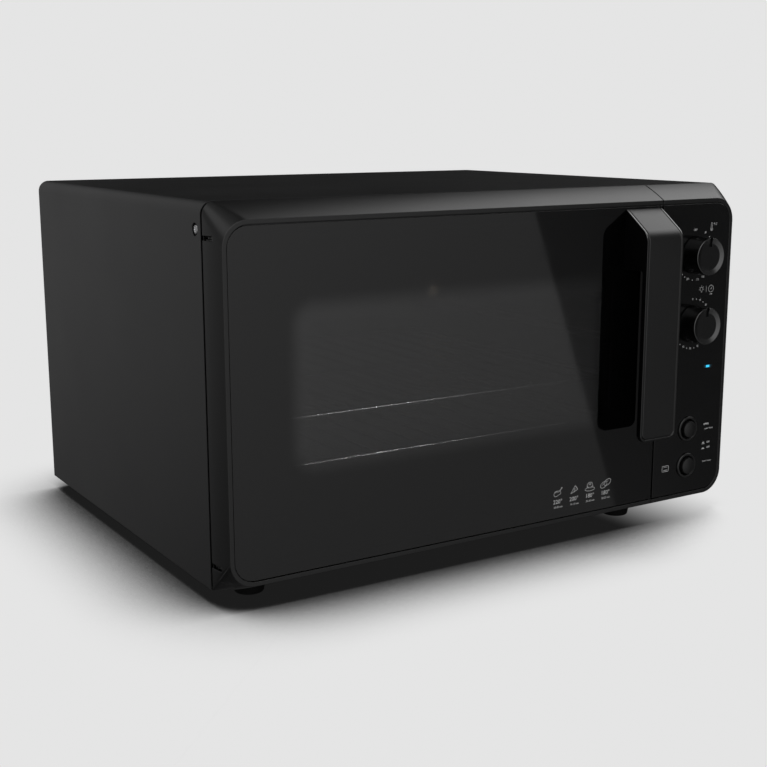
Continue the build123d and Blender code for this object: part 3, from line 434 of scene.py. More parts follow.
def turned(profile, centre, axis, columns=64):
    """A profile of (radius, along) carried round an axis through the centre: each point moves on a
    circle of its own radius, sine of the angle to one side and cosine to the other."""
    profile = np.asarray(profile, dtype=float)
    angle = np.arange(columns) * 2 * math.pi / columns
    side = profile[:, :1] * np.sin(angle)
    up = profile[:, :1] * np.cos(angle)
    along = np.broadcast_to(profile[:, 1:], side.shape)
    order = {"X": (along, side, up), "Y": (side, along, up), "Z": (side, up, along)}
    return np.stack(order[axis], axis=-1) + np.asarray(centre)


def looped(profile):
    """A profile whose last point is its first, for a turned ring."""
    return np.concatenate([profile, profile[:1]])


# ------------------------------------------------------------------ drawn pieces

# Far corner of the sheet-metal body: its width, how far it goes to the rear, and its height.
BODY_SIZE = drawn("outer_wrapper")[1]
# Radii of the bezel's corners: round the glass, and at the body's lower and upper corners.
GLASS_CORNER = 18.3
FOOT_CORNER = 2.0
TOP_CORNER = 11.0
# How far the body's lower corners reach along the bezel, which is left as it is there.
FOOT_REACH = 12.0


def outline_distance(points, bounds, radii):
    """Distance of points, across and up, from a rounded rectangle, and the direction away from it. With
    q the distance past the centres of the corner circles, it is the length of q's positive part, plus
    q's larger part where both are negative, less the corner's radius."""
    middle = (bounds[..., :2] + bounds[..., 2:]) / 2
    half = (bounds[..., 2:] - bounds[..., :2]) / 2
    offset = points - middle
    radius = np.where(offset[..., 1] > 0, radii[..., 1], radii[..., 0])[..., None]
    past = np.abs(offset) - (half - radius)
    beyond = np.maximum(past, 0)
    reach = np.linalg.norm(beyond, axis=-1)
    inside = np.minimum(past.max(-1), 0)
    away = np.sign(offset) * beyond / np.maximum(reach, 1e-9)[..., None]
    return reach + inside - radius[..., 0], away


def bezel_surface(node, shape, material):
    """The bezel's welded copy, finished finer: its bevel is divided, laid back on the true outline,
    which grows evenly from the lip to the body, and raised by a parabola between its two edges. The two
    small lower corners of the body stay as they are."""
    lip, body = bezel_outlines()
    middle = body[2] / 2
    rear = drawn("door_frame")[1][1]
    # How near the bevel and how near its two end planes a corner still belongs to it, and how far a
    # straight edge goes to the rear before it is divided.
    near, level, deep = 0.25, 0.02, 2.0
    work = bmesh.new()
    work.from_mesh(frame["nodes"][node].data)
    bmesh.ops.remove_doubles(work, verts=work.verts, dist=WELD)

    def measure():
        """Every corner in millimetres, its share of the depth, its distance from the bevel, the way
        out, and whether it lies on the bevel between the front plane and the rear."""
        points = (np.array([vertex.co for vertex in work.verts]) - ORIGIN) / MM
        part = np.clip(points[:, 1:2] / rear, 0, 1)
        outline = lip + (body - lip) * part
        distance, away = outline_distance(points[:, [0, 2]], outline[:, :4], outline[:, 4:])
        flush = (np.abs(distance) < near) & (points[:, 1] > -level) & (points[:, 1] < rear + level)
        flush &= (points[:, 2] > FOOT_REACH) | (np.abs(points[:, 0] - middle) < middle - FOOT_REACH)
        return points, part, distance, away, flush

    points, part, distance, away, flush = measure()
    work.verts.index_update()
    long = []
    for edge in work.edges:
        first, last = (vertex.index for vertex in edge.verts)
        if flush[first] and flush[last]:
            turns = (away[first] * away[last]).sum() < 0.9999
            if turns or abs(points[first, 1] - points[last, 1]) > deep:
                long.append(edge)
    bmesh.ops.subdivide_edges(work, edges=long, cuts=5, use_grid_fill=True)
    points, part, distance, away, flush = measure()
    crown = shape.bezel_crown / MM * 4 * part[:, 0] * (1 - part[:, 0])
    shift = (crown - distance) * flush
    points[:, [0, 2]] += away * shift[:, None]
    mesh = bpy.data.meshes.new(node + "_skin")
    bmesh.ops.triangulate(work, faces=work.faces)
    work.to_mesh(mesh)
    work.free()
    mesh.vertices.foreach_set("co", (points * MM + ORIGIN).ravel())
    mesh.materials.append(material)
    seat(mesh, node, sharp=30.0)


def bezel_outlines():
    """Rounded rectangles of the lip and the body: low X and Z, high X and Z, then the radii of the lower
    and the upper corners."""
    source = frame["nodes"]["door_frame"].data
    points = (np.array([vertex.co for vertex in source.vertices]) - ORIGIN) / MM
    front = points[points[:, 1] < 0.02]
    width = BODY_SIZE[0]
    left, low, high = front[:, 0].min(), front[:, 2].min(), front[:, 2].max()
    corner = GLASS_CORNER + (drawn("door_glass")[0][0] - left)
    lip = np.array([left, low, width - left, high, corner, corner])
    body = np.array([0.0, 0.0, width, points[:, 2].max(), FOOT_CORNER, TOP_CORNER])
    return lip, body


def handle_surface(shape):
    """The grip: its side view carried from left to right. Near each side the outline is drawn in along
    a quarter circle of the edge radius, and its lower end is lifted along the foot's corner circle. A
    groove is sunk where the distance from the front's rounded outline lies within its band. Returned
    with each face's kind: 1 on the polished rim of the sloped top, 2 on the two side faces."""
    low, high = drawn("handle")
    width = high[0] - low[0]
    front, bottom, top = low[1], low[2], high[2]
    bar = front + shape.handle_bar / MM
    edge = shape.handle_edge / MM
    foot = shape.handle_foot / MM
    rim = shape.handle_rim / MM
    groove = shape.handle_groove / MM
    step = groove / 3
    # Radii at the glass, at the lower end, and inside the root.
    small, end, root = 0.5, 1.2, shape.handle_bar / MM / 2
    turn = np.linspace(0, math.pi / 2, 7)
    flat = np.arange(edge + step, foot + rim, step)
    from_side = np.concatenate([edge - edge * np.cos(turn), flat, [width / 2]])
    drawn_in = np.concatenate([edge - edge * np.sin(turn), np.zeros(len(flat) + 1)])
    across = np.concatenate([from_side, width - from_side[-2::-1]])
    inset = np.concatenate([drawn_in, drawn_in[-2::-1]])
    lift = foot - np.sqrt(foot ** 2 - np.clip(foot - np.minimum(across, width - across), 0, foot) ** 2)
    slope_foot = top - shape.handle_slope / MM
    root_foot = top - shape.handle_root / MM
    # Corners of the side view, from the glass over the sloped top and round to the glass again.
    corners = np.array([(0, top), (front, slope_foot), (front, bottom), (bar, bottom), (bar, root_foot),
                        (0, root_foot)])
    # Share of the inset that the side after each corner takes: less at the back, none on the glass.
    weight = np.array([1.0, 1.0, 1.0, 0.6, 0.6, 0.0])
    side = np.roll(corners, -1, axis=0) - corners
    inward = np.stack([-side[:, 1], side[:, 0]], axis=1) / np.linalg.norm(side, axis=1, keepdims=True)
    level = (inward * corners).sum(1) + weight * inset[:, None]
    before = np.roll(inward, 1, axis=0)
    matrix = np.broadcast_to(np.stack([before, inward], axis=1), (len(across), 6, 2, 2))
    values = np.stack([np.roll(level, 1, axis=1), level], axis=-1)
    moved = np.linalg.solve(matrix, values[..., None])[..., 0]
    radii = np.array([small, shape.handle_bend / MM, end, end, root, small])
    # Share of the inset that each radius loses: an inner corner, at the root, gains it.
    loss = np.array([0, 1, 0.8, 0.8, -1, 0])
    steps = 9
    outline = rounded(moved, radii - loss * inset[:, None], steps)
    first, last = outline[:, 2 * steps - 1], outline[:, 2 * steps]
    part = 1 - np.arange(foot + rim, 0, -step) / (slope_foot - bottom)
    straight = first[:, None] + (last - first)[:, None] * part[None, :, None]
    outline = np.concatenate([outline[:, :2 * steps], straight, outline[:, 2 * steps:]], axis=1)
    y, z = outline[..., 0], outline[..., 1]
    z = z + lift[:, None] * np.clip(1 - (z - bottom) / (3 * foot), 0, 1)
    x = np.broadcast_to(low[0] + across[:, None], z.shape)
    face = np.array([low[0], bottom, high[0], 2 * top, foot, foot])
    depth, _ = outline_distance(np.stack([x, z], axis=-1), face[:4], face[4:])
    along = unit(np.gradient(outline, axis=1))
    column = np.arange(outline.shape[1])
    outer = (column >= steps - 1) & (column < 2 * steps + len(part))
    # As deep as it is wide over the middle half of its band, and running out just past both edges.
    sunk = np.clip(1.5 - np.abs(-depth - rim - groove / 2) / groove * 2, 0, 1) * groove * outer
    below_bend = 4
    polished = (-depth < rim) & outer & (z > slope_foot - below_bend)
    polished = polished & np.roll(polished, -1, axis=1)
    kinds = (polished[:-1] & polished[1:]) * 1
    edge_rows = 3
    kinds[:edge_rows] = 2
    kinds[-edge_rows:] = 2
    grid = np.stack([x, y - along[..., 1] * sunk, z + along[..., 0] * sunk], axis=-1)
    return Surface().add(grid, caps=True), np.concatenate([[2, 2], kinds.ravel()])


def knob_surface(shape, node, spindle):
    """A hollow knob turned about its spindle. In the pointer groove the grid lines run parallel: their
    angle is arcsin(x / radius), and there the depth is never less than the groove's. Returned with each
    face's kind: 1 on the bevelled rim, 2 in the groove."""
    low, high = drawn(node)
    centre = on_axis(node, "Y")
    front, back = low[1], high[1]
    radius = (high[0] - low[0]) / 2
    spindle_low, spindle_high = drawn(spindle)
    bore = (spindle_high[0] - spindle_low[0]) / 2 + 0.05
    face = front + shape.knob_dish / MM
    dish = shape.knob_face / MM
    # How far the side leans in, the wall at the foot and the hub's radius; then how deep the hollow,
    # the bore and the hub's end lie, and the groove's floor and length.
    taper, wall, hub = 0.7, 2.2, 6.5
    roof = front + 4.2
    bore_end = front + 4.8
    hub_end = back - 2.5
    cut_level = front + 2.4
    cut_length = 8.6
    rim = radius - taper
    start = rim - cut_length
    steps = 5
    outline = rounded([(0, face), (dish, face), (rim - 0.7, front), (rim, front), (radius, back - wall),
                       (radius, back), (radius - wall, back), (rim - wall - 0.5, roof), (hub, roof),
                       (hub, hub_end), (bore, hub_end), (bore, bore_end), (0, bore_end)],
                      [0.0, 0.8, 0.25, 0.4, 0.5, 0.3, 0.3, 0.3, 0.2, 0.2, 0.2, 0.0, 0.0], steps)
    # A row closely before the groove's start keeps its end wall steep; the side's rows let it run out.
    lead = 0.12
    middle = np.array([(0, face), (5, face), (start - lead, face), (start, face), (dish - 1.4, face)])
    side = np.stack([np.linspace(rim, radius - 0.1, 5), np.linspace(front + 2.6, back - 4, 5)], axis=1)
    profile = np.concatenate([middle, outline[steps:4 * steps], side, outline[4 * steps:]])
    outer_rows = len(middle) + 3 * steps + len(side)
    half = shape.knob_groove / MM / 2
    strip = np.array([-half - lead, -half, 0.0, half, half + lead])
    width = np.maximum(profile[:, :1], 6.0)
    groove = np.arcsin(np.clip(strip / width, -1, 1))
    others = np.radians(np.linspace(22, 338, 57))
    rest = np.broadcast_to(others, (len(profile), len(others)))
    angle = np.concatenate([groove, rest], axis=1)
    x = profile[:, :1] * np.sin(angle)
    z = profile[:, :1] * np.cos(angle)
    y = np.broadcast_to(profile[:, 1:], x.shape).copy()
    in_groove = np.concatenate([np.abs(strip) <= half, np.zeros(len(others), dtype=bool)])
    cut = (np.arange(len(profile)) < outer_rows)[:, None] & (profile[:, :1] >= start) & in_groove
    y[cut] = np.maximum(y[cut], cut_level)
    grid = np.stack([x, y, z], axis=-1) + centre
    rows = np.arange(len(profile) - 1) - len(middle)
    kinds = np.repeat(((rows >= 1) & (rows < 3 * steps - 1))[:, None], x.shape[1], axis=1) * 1
    kinds[cut[:-1] | cut[1:]] = 2
    return Surface().add(grid), kinds.ravel()


# A button's ring, from its flange inwards: its collar, its barrel and its bore are this much smaller in
# radius, and the button in it by this much. The ring's chamfer at the bore is as wide as it is deep.
COLLAR_IN, BARREL_IN, BORE_IN, BUTTON_IN = 1.2, 2.7, 5.0, 5.5
RING_CHAMFER = 1.5
# Points round a ring and round a button.
BUTTON_COLUMNS = 72


def ring_surface(node):
    """A button's surround: a flat collar with rounded edges and a barrel behind it."""
    low, high = drawn(node)
    whole = (high[0] - low[0]) / 2
    front, rear = low[1], high[1]
    collar = whole - COLLAR_IN
    bore = whole - BORE_IN
    barrel = whole - BARREL_IN
    back = -0.02
    profile = rounded([(bore + RING_CHAMFER, front), (collar, front), (collar, back), (barrel, back),
                       (barrel, rear), (bore, rear), (bore, front + RING_CHAMFER)],
                      [0.5, 0.9, 0.1, 0.1, 0.3, 0.3, 0.5], 5)
    return Surface().add(turned(looped(profile), on_axis(node, "Y"), "Y", BUTTON_COLUMNS))


def button_surface(node, ring):
    """A domed cap: the crown falls off as a circle whose sagitta is the dome's height. Returned with each
    face's kind: 1 on the wall round the crown."""
    low, high = drawn(node)
    ring_low, ring_high = drawn(ring)
    radius = (ring_high[0] - ring_low[0]) / 2 - BUTTON_IN
    crown, rear = low[1], high[1]
    dome, edge = 1.0, 0.7
    bend = (radius ** 2 + dome ** 2) / (2 * dome)
    across = np.linspace(0, radius - edge, 9)
    top = np.stack([across, crown + bend - np.sqrt(bend ** 2 - across ** 2)], axis=1)
    skirt = ring_high[1] - 6.7
    inner = radius - 1.8
    stem = 2.5
    steps = 5
    side = rounded([(0, crown + dome / 2), (radius, crown + dome), (radius, skirt), (inner, skirt),
                    (inner, 0.0), (stem, 0.0), (stem, rear), (0, rear)],
                   [0.0, edge, 0.3, 0.3, 0.3, 0.3, 0.4, 0.0], steps)
    profile = np.concatenate([top, side[steps:]])
    surface = Surface().add(turned(profile, on_axis(ring, "Y"), "Y", BUTTON_COLUMNS))
    return surface, np.repeat(np.arange(len(profile) - 1) >= len(top), BUTTON_COLUMNS) * 1


# A pan-head screw: the height and radius of its head, its shank's radius, and the half width and half
# length of the cross's arms. The head's crown has this many rows, and the rest is shares of its sizes.
HEAD_HEIGHT, HEAD_RADIUS, SHANK_RADIUS = 1.8, 4.0, 2.0
CROSS_HALF, CROSS_LONG = 0.55, 2.1
CROWN_ROWS = 12
HEAD_ACROSS = (0.88, 0.95, 0.99, 1.0, 1.0)
HEAD_RISE = (0.78, 0.6, 0.42, 0.3, 0.0)
# Screws beyond this X, Y or Z have their heads on the far side of it, the others on the near side.
HEADS_FROM = (BODY_SIZE[0] / 2, 0.0, BODY_SIZE[2] / 2)


def screw_surface(shape, node, axis):
    """Pan-head screws, one in each solid's place, with their heads away from the body's middle: a domed
    head whose top sinks where either arm of a cross covers it, and a plain shank with a blunt point."""
    surface = Surface()
    column = "XYZ".index(axis)
    crown = np.linspace(0, HEAD_RADIUS * 0.8, CROWN_ROWS)
    domed = HEAD_HEIGHT - 0.5 * (crown / HEAD_RADIUS) ** 2
    across = np.concatenate([crown, HEAD_RADIUS * np.array(HEAD_ACROSS)])
    rise = np.concatenate([domed, HEAD_HEIGHT * np.array(HEAD_RISE)])
    point = 0.6
    flat = [index for index in range(3) if index != column]

    def arm(aside, along):
        """1 on an arm of the cross, falling to 0 past its side and its end."""
        return np.clip((CROSS_HALF - aside) / 0.2, 0, 1) * np.clip((CROSS_LONG - along) / 0.3, 0, 1)

    for low, high in islands(node):
        centre = (low + high) / 2
        outward = 1 if centre[column] > HEADS_FROM[column] else -1
        seat_level = (high[column] if outward > 0 else low[column]) - outward * HEAD_HEIGHT
        depth = high[column] - low[column] - HEAD_HEIGHT
        shank = [(SHANK_RADIUS, 0.0), (SHANK_RADIUS, point - depth), (SHANK_RADIUS * 0.6, -depth),
                 (0, -depth)]
        profile = np.concatenate([np.stack([across, rise], axis=1), shank])
        grid = turned(profile, (0, 0, 0), axis, 48)
        first, second = np.abs(grid[..., flat[0]]), np.abs(grid[..., flat[1]])
        bar, cross = arm(first, second), arm(second, first)
        head_rows = (np.arange(len(profile)) < CROWN_ROWS)[:, None]
        grid[..., column] -= head_rows * np.maximum(bar, cross) * shape.screw_recess / MM
        grid[..., column] = grid[..., column] * outward + seat_level
        grid[..., flat] += centre[flat]
        surface.add(grid)
    return surface


def foot_surface(node):
    """A turned rubber foot with a deep screw recess."""
    low, high = drawn(node)
    radius = (high[0] - low[0]) / 2
    ground, top = low[2], high[2]
    bore, recess = 2.06, 5.2
    floor = ground + 7
    profile = rounded([(bore, top), (radius, top), (radius, top - 4), (radius - 2, ground),
                       (recess, ground), (recess, floor), (bore, floor)],
                      [0.0, 0.6, 1.5, 1.6, 0.7, 0.4, 0.0], 5)
    return Surface().add(turned(looped(profile), on_axis(node, "Z"), "Z", 56))


def dome_surface():
    """The lamp's glass: an elliptic dome on a short threaded skirt, with its wall inside it."""
    low, high = drawn("lamp_cover")
    radius = (high[1] - low[1]) / 2
    seat_x = high[0] - 5.3
    reach = seat_x - low[0]
    wall = 1.6
    neck = radius - 2.3
    bore = neck - wall
    inner_x = seat_x - 1.5
    turn = np.linspace(math.pi / 2, 0, 15)
    back = turn[::-1]
    outer = np.stack([radius * np.cos(turn), seat_x - reach * np.sin(turn)], axis=1)
    skirt = np.array([(radius, seat_x), (neck, seat_x), (neck, high[0]), (bore, high[0]),
                      (bore, inner_x)])
    inner = np.stack([bore * np.cos(back), inner_x - (reach - 2 * wall) * np.sin(back)], axis=1)
    profile = np.concatenate([outer, skirt, inner[1:]])
    return Surface().add(turned(profile, on_axis("lamp_cover", "X"), "X", 64))


# ------------------------------------------------------------------ printed marks

# Share of its nominal width that every stroke is printed with.
STROKE = 0.72
# Distance between the points of a printed line.
INK_STEP = 0.35
# Height of a capital letter as a share of the font's size.
CAPITAL = 0.70


class Ink:
    """Flat printed marks in front of the glass: ribbons along paths and thin letters."""

    def __init__(self, shape):
        self.surface = Surface()
        self.front = -shape.ink_height / MM
        self.back = self.front * 0.3

    def line(self, path, width, closed=False):
        """A ribbon of even width: the path is divided evenly, and each point moves half the width to
        either side of the path's direction there."""
        path = np.asarray(path, dtype=float)
        width = width * STROKE
        if closed:
            path = np.concatenate([path, path[:1]])
        steps = np.linalg.norm(np.diff(path, axis=0), axis=1)
        along = np.concatenate([[0.0], np.cumsum(steps)])
        evenly = np.linspace(0, along[-1], max(2, int(along[-1] / INK_STEP)))
        path = np.stack([np.interp(evenly, along, path[:, side]) for side in (0, 1)], axis=1)
        direction = np.gradient(path, axis=0)
        if closed:
            direction[[0, -1]] = direction[0] + direction[-1]
        direction = unit(direction)
        aside = np.stack([-direction[:, 1], direction[:, 0]], axis=1) * width / 2
        corners = [(path + aside, self.front), (path - aside, self.front),
                   (path - aside, self.back), (path + aside, self.back)]
        grid = np.stack([np.insert(points, 1, level, axis=1) for points, level in corners], axis=1)
        self.surface.add(grid, caps=not closed)

    def curve(self, centre, radius, width, start=0.0, end=360.0, squash=1.0, tilt=0.0):
        """Part of an ellipse: cosine across and sine up, the height squashed and the whole tilted."""
        angle = np.radians(np.linspace(start, end, 36))
        x, z = radius * np.cos(angle), radius * squash * np.sin(angle)
        turn = math.radians(tilt)
        path = np.stack([centre[0] + x * math.cos(turn) - z * math.sin(turn),
                         centre[1] + x * math.sin(turn) + z * math.cos(turn)], axis=1)
        whole = end - start >= 360.0
        self.line(path[:-1] if whole else path, width, whole)

    def disc(self, centre, radius):
        """A small filled dot."""
        profile = [(0.0, self.front), (radius, self.front), (radius, self.back), (0.0, self.back)]
        self.surface.add(turned(profile, (centre[0], 0, centre[1]), "Y", 16))

    def text(self, words, centre, height, bold=0.0, stretch=1.0):
        """Letters of a given height about a point."""
        curve = bpy.data.curves.new("letters", "FONT")
        curve.body = words
        curve.size = height / CAPITAL
        curve.align_x = "CENTER"
        curve.align_y = "CENTER"
        curve.resolution_u = 3
        curve.extrude = (self.back - self.front) / 2
        curve.offset = bold
        letters = bpy.data.objects.new("letters", curve)
        bpy.context.scene.collection.objects.link(letters)
        bpy.context.view_layer.update()
        depsgraph = bpy.context.evaluated_depsgraph_get()
        mesh = bpy.data.meshes.new_from_object(letters.evaluated_get(depsgraph))
        points = np.empty(len(mesh.vertices) * 3)
        mesh.vertices.foreach_get("co", points)
        points = points.reshape(-1, 3)
        faces = [tuple(face.vertices) for face in mesh.polygons]
        middle = (self.front + self.back) / 2
        placed = np.stack([centre[0] + points[:, 0] * stretch, middle - points[:, 2],
                           centre[1] + points[:, 1]], axis=1)
        bpy.data.objects.remove(letters)
        bpy.data.meshes.remove(mesh)
        self.surface.add_mesh(placed, faces)


def roast_mark(ink, x, z):
    """A roast: a round body with a leg bone that points up to the right."""
    angle = np.radians(np.linspace(0, 350, 60))
    reach = 3.6 + 0.7 * np.cos(2 * angle - 0.6) + 0.35 * np.cos(3 * angle)
    body = np.stack([x - 1 + reach * np.cos(angle), z - 0.8 + reach * 0.82 * np.sin(angle)], axis=1)
    ink.line(body, 0.55, True)
    ink.line([(x + 1.8, z + 1.2), (x + 4.2, z + 3.4)], 0.9)
    ink.curve((x + 4.6, z + 4.1), 0.7, 0.5)
    ink.curve((x - 1.4, z - 1.0), 2.0, 0.4, 20, 150)


def slice_mark(ink, x, z):
    """A slice with a crust and two toppings."""
    ink.line([(x - 4.2, z - 3.8), (x + 1.2, z + 3.9)], 0.55)
    ink.line([(x - 4.2, z - 3.8), (x + 4.2, z - 0.6)], 0.55)
    ink.curve((x - 4.2, z - 3.8), 9.2, 0.9, 20, 55)
    ink.curve((x + 0.6, z + 0.4), 0.8, 0.45)
    ink.curve((x + 0.4, z - 1.9), 0.6, 0.45)


def cake_mark(ink, x, z):
    """A domed cake on a plate."""
    ink.curve((x, z - 2.6), 6.2, 0.55, squash=0.3)
    ink.line([(x - 4.0, z - 1.8), (x - 3.4, z + 1.6)], 0.55)
    ink.line([(x + 4.0, z - 1.8), (x + 3.4, z + 1.6)], 0.55)
    ink.curve((x, z + 1.7), 3.5, 0.55, squash=0.75)
    ink.curve((x, z + 2.3), 1.3, 0.5, squash=0.5)
    ink.line([(x - 1.2, z - 0.9), (x - 1.2, z - 2.3)], 0.45)
    ink.line([(x + 1.3, z - 0.9), (x + 1.3, z - 2.3)], 0.45)


def rolls_mark(ink, x, z):
    """Two overlapping rolls with a cut on each."""
    ink.curve((x - 2.3, z - 1.0), 4.6, 0.6, 20, 340, 0.62, 28)
    ink.curve((x + 2.4, z + 1.1), 4.6, 0.6, 0, 360, 0.62, 28)
    ink.curve((x + 2.2, z + 0.6), 2.6, 0.45, 40, 140, 0.5, 28)
    ink.curve((x - 2.6, z - 1.6), 2.4, 0.45, 40, 140, 0.5, 28)


# From a knob's side to the circle of its marks.
DIAL_GAP = 6.2
# Degrees between ten minutes and ten minutes on the timer's dial.
TEN_MINUTES = 23.2


def door_marks(ink):
    """Four dishes along the foot of the door, each with its temperature and its minutes."""
    first, pitch = drawn("door_frame")[1][0] - 123.4, 20.35
    picture_level, heat_level, minutes_level = 38.2, 28.8, 23.5
    dishes = ((roast_mark, "220°", "60-80 min"), (slice_mark, "200°", "10-15 min"),
              (cake_mark, "180°", "35-45 min"), (rolls_mark, "180°", "20-25 min"))
    for place, (mark, heat, minutes) in enumerate(dishes):
        x = first + pitch * place
        mark(ink, x, picture_level)
        ink.text(heat, (x, heat_level), 4.2)
        ink.text(minutes, (x + 0.8, minutes_level), 2.0, stretch=0.95)


def dial_marks(ink, node, numbers, dots):
    """Numbers and dots on a circle about a knob, clockwise from the top in degrees."""
    x, _, z = on_axis(node, "Y")
    low, high = drawn(node)
    radius = (high[0] - low[0]) / 2 + DIAL_GAP

    def place(angle):
        """The point of the circle at an angle."""
        turn = math.radians(angle)
        return x + radius * math.sin(turn), z + radius * math.cos(turn)

    for angle, words in numbers:
        ink.text(words, place(angle), 2.1, 0.02, 0.9)
    for angle in dots:
        ink.disc(place(angle), 0.55)


def panel_marks(ink):
    """Dials, pictures and words of the control panel."""
    heats = [(-4, "OFF"), (29, "50"), (62, "75"), (92, "100"), (122, "125"), (153, "150"), (171, "175"),
             (202, "200")]
    dial_marks(ink, "temperature_knob", heats, (46, 77, 107, 137, 187, 213, 223))
    minutes = [(TEN_MINUTES * step - 2.4, str(10 * step)) for step in range(10)]
    dots = [TEN_MINUTES * step + 9.2 for step in range(9)] + [219]
    dial_marks(ink, "timer_knob", minutes, dots)
    x, _, z = on_axis("temperature_knob", "Y")
    thermometer_mark(ink, x + 22.0, z + 27.8)
    clock_mark(ink, x + 24.1, z - 35.5)
    lamp_mark(ink, x + 10.6, z - 35.6)
    ink.line([(x + 17.3, z - 32.6), (x + 17.3, z - 38.6)], 0.4)
    ink.text("min", (x + 24.4, z - 40.9), 1.5, 0.05)
    x, _, z = on_axis("upper_heat_button_ring", "Y")
    ink.text("UPPER", (x + 26.8, z + 1.9), 1.9, 0.06)
    ink.text("upper heater", (x + 30.8, z - 2.9), 1.7)
    press_mark(ink, x + 23.8, z - 18.0, 1.4)
    ink.text("ON", (x + 31.0, z - 18.0), 1.9, 0.06)
    press_mark(ink, x + 23.8, z - 23.4, 0.4)
    ink.text("OFF", (x + 31.4, z - 23.6), 1.9, 0.06)
    x, _, z = on_axis("lower_heat_button_ring", "Y")
    ink.text("lower heater", (x + 30.4, z + 0.8), 1.7)
    tray_mark(ink, x - 29.0, z + 0.3)


def thermometer_mark(ink, x, z):
    """A thermometer with a bulb at its foot, and the sign for degrees beside it."""
    ink.curve((x - 1.2, z - 2.6), 1.5, 0.5, 125, 415)
    ink.line([(x - 2.0, z - 1.4), (x - 2.0, z + 3.2)], 0.45)
    ink.line([(x - 0.4, z - 1.4), (x - 0.4, z + 3.2)], 0.45)
    ink.curve((x - 1.2, z + 3.2), 0.8, 0.45, 0, 180)
    ink.disc((x - 1.2, z - 2.6), 0.6)
    ink.curve((x + 2.4, z + 2.8), 0.7, 0.4)
    ink.line([(x + 4.0, z + 3.2), (x + 6.6, z + 3.2)], 0.45)
    ink.line([(x + 4.0, z + 1.6), (x + 5.8, z + 1.6)], 0.45)


def clock_mark(ink, x, z):
    """A stopwatch: a circle, a hand and the hand's pivot."""
    ink.curve((x, z), 3.5, 0.5)
    ink.line([(x, z), (x + 1.7, z + 1.7)], 0.5)
    ink.curve((x, z), 0.5, 0.4)


def lamp_mark(ink, x, z):
    """A lamp: a round bulb on a cap, with short rays."""
    ink.curve((x, z + 0.4), 1.9, 0.5, -55, 235)
    ink.line([(x - 0.9, z - 1.8), (x + 0.9, z - 1.8)], 0.5)
    ink.line([(x - 0.7, z - 2.8), (x + 0.7, z - 2.8)], 0.5)
    for angle in (-10, 40, 90, 140, 190):
        turn = math.radians(angle)
        ray = np.array([math.cos(turn), math.sin(turn)])
        ink.line([(x, z + 0.4) + ray * 2.7, (x, z + 0.4) + ray * 3.7], 0.45)


def press_mark(ink, x, z, lift):
    """A button seen from the side, standing out of its base by the lift."""
    base, top, middle = z - 1.2, z - 0.6 + lift, z - 0.8 + lift / 2
    ink.line([(x - 2.2, base), (x + 2.2, base)], 0.6)
    ink.line([(x - 1.1, base), (x - 1.1, top), (x + 1.1, top), (x + 1.1, base)], 0.55)
    ink.line([(x - 0.9, middle), (x + 0.9, middle)], 0.9)


def tray_mark(ink, x, z):
    """An oven seen from the front, with its lower heat on."""
    left, right, low, high = x - 4.4, x + 4.4, z - 3.0, z + 3.0
    ink.line(rounded([(left, low), (right, low), (right, high), (left, high)], 0.9, 4), 0.55, True)
    ink.line([(x - 2.9, z - 1.5), (x + 2.9, z - 1.5)], 0.7)
    ink.line([(x - 2.9, z + 1.5), (x + 2.9, z + 1.5)], 0.35)


# ------------------------------------------------------------------ materials

# Refractive indices: how strongly a finish mirrors the room.
SATIN, POLISHED, MATT, DEAD = 1.48, 1.95, 1.2, 1.06
GLASS, GLASS_COAT = 1.5, 1.77
# Soft edges of glass, in metres.
GLASS_EDGE = 0.0005


def coat_material(name, shade, rough, grain, edge, index=SATIN):
    """Baked paint or moulded plastic: fine orange peel, faint cloudiness, soft edges."""
    shader = Shader(name)
    point, _ = shader.place()
    cloud = shader.noise(point, 9.0, 2.0)
    peel = shader.noise(point, grain, 3.0, 0.6)
    tone = shader.blend(cloud.ramp(0.3, 0.7), rgba(shade, 0.9), rgba(shade, 1.12))
    normal = shader.bumped(peel, 0.22, 0.00012, shader.soft_edges(edge))
    shader.principled(Base_Color=tone, Roughness=rough + (cloud - 0.5) * 0.10, IOR=index, Normal=normal)
    return shader.material


def metal_material(name, shade, rough, edge, grain=300.0):
    """Bare metal: a fine grain in its roughness and its relief, broad stains in its colour."""
    shader = Shader(name)
    point, _ = shader.place()
    rolled = shader.noise(point, grain, 3.0, 0.6)
    stain = shader.noise(point, 14.0, 3.0)
    tone = shader.blend(stain.ramp(0.35, 0.7), rgba(shade, 0.86), rgba(shade, 1.08))
    normal = shader.bumped(rolled, 0.12, 0.0001, shader.soft_edges(edge))
    shader.principled(Base_Color=tone, Metallic=1.0, Roughness=rough + (rolled - 0.5) * 0.16,
                      Normal=normal)
    return shader.material


def enamel_material():
    """Dark coated steel of the oven chamber, a little cloudy."""
    shader = Shader("chamber_enamel")
    point, _ = shader.place()
    speck = shader.noise(point, 900.0, 2.0, 0.7)
    haze = shader.noise(point, 11.0, 3.0)
    tone = shader.blend(haze.ramp(0.3, 0.75), (0.100, 0.100, 0.102, 1.0), (0.136, 0.136, 0.138, 1.0))
    normal = shader.bumped(speck, 0.25, 0.0001, shader.soft_edges(0.0012))
    shader.principled(Base_Color=tone, Metallic=0.3, Roughness=0.40 + (haze - 0.5) * 0.2, Normal=normal)
    return shader.material


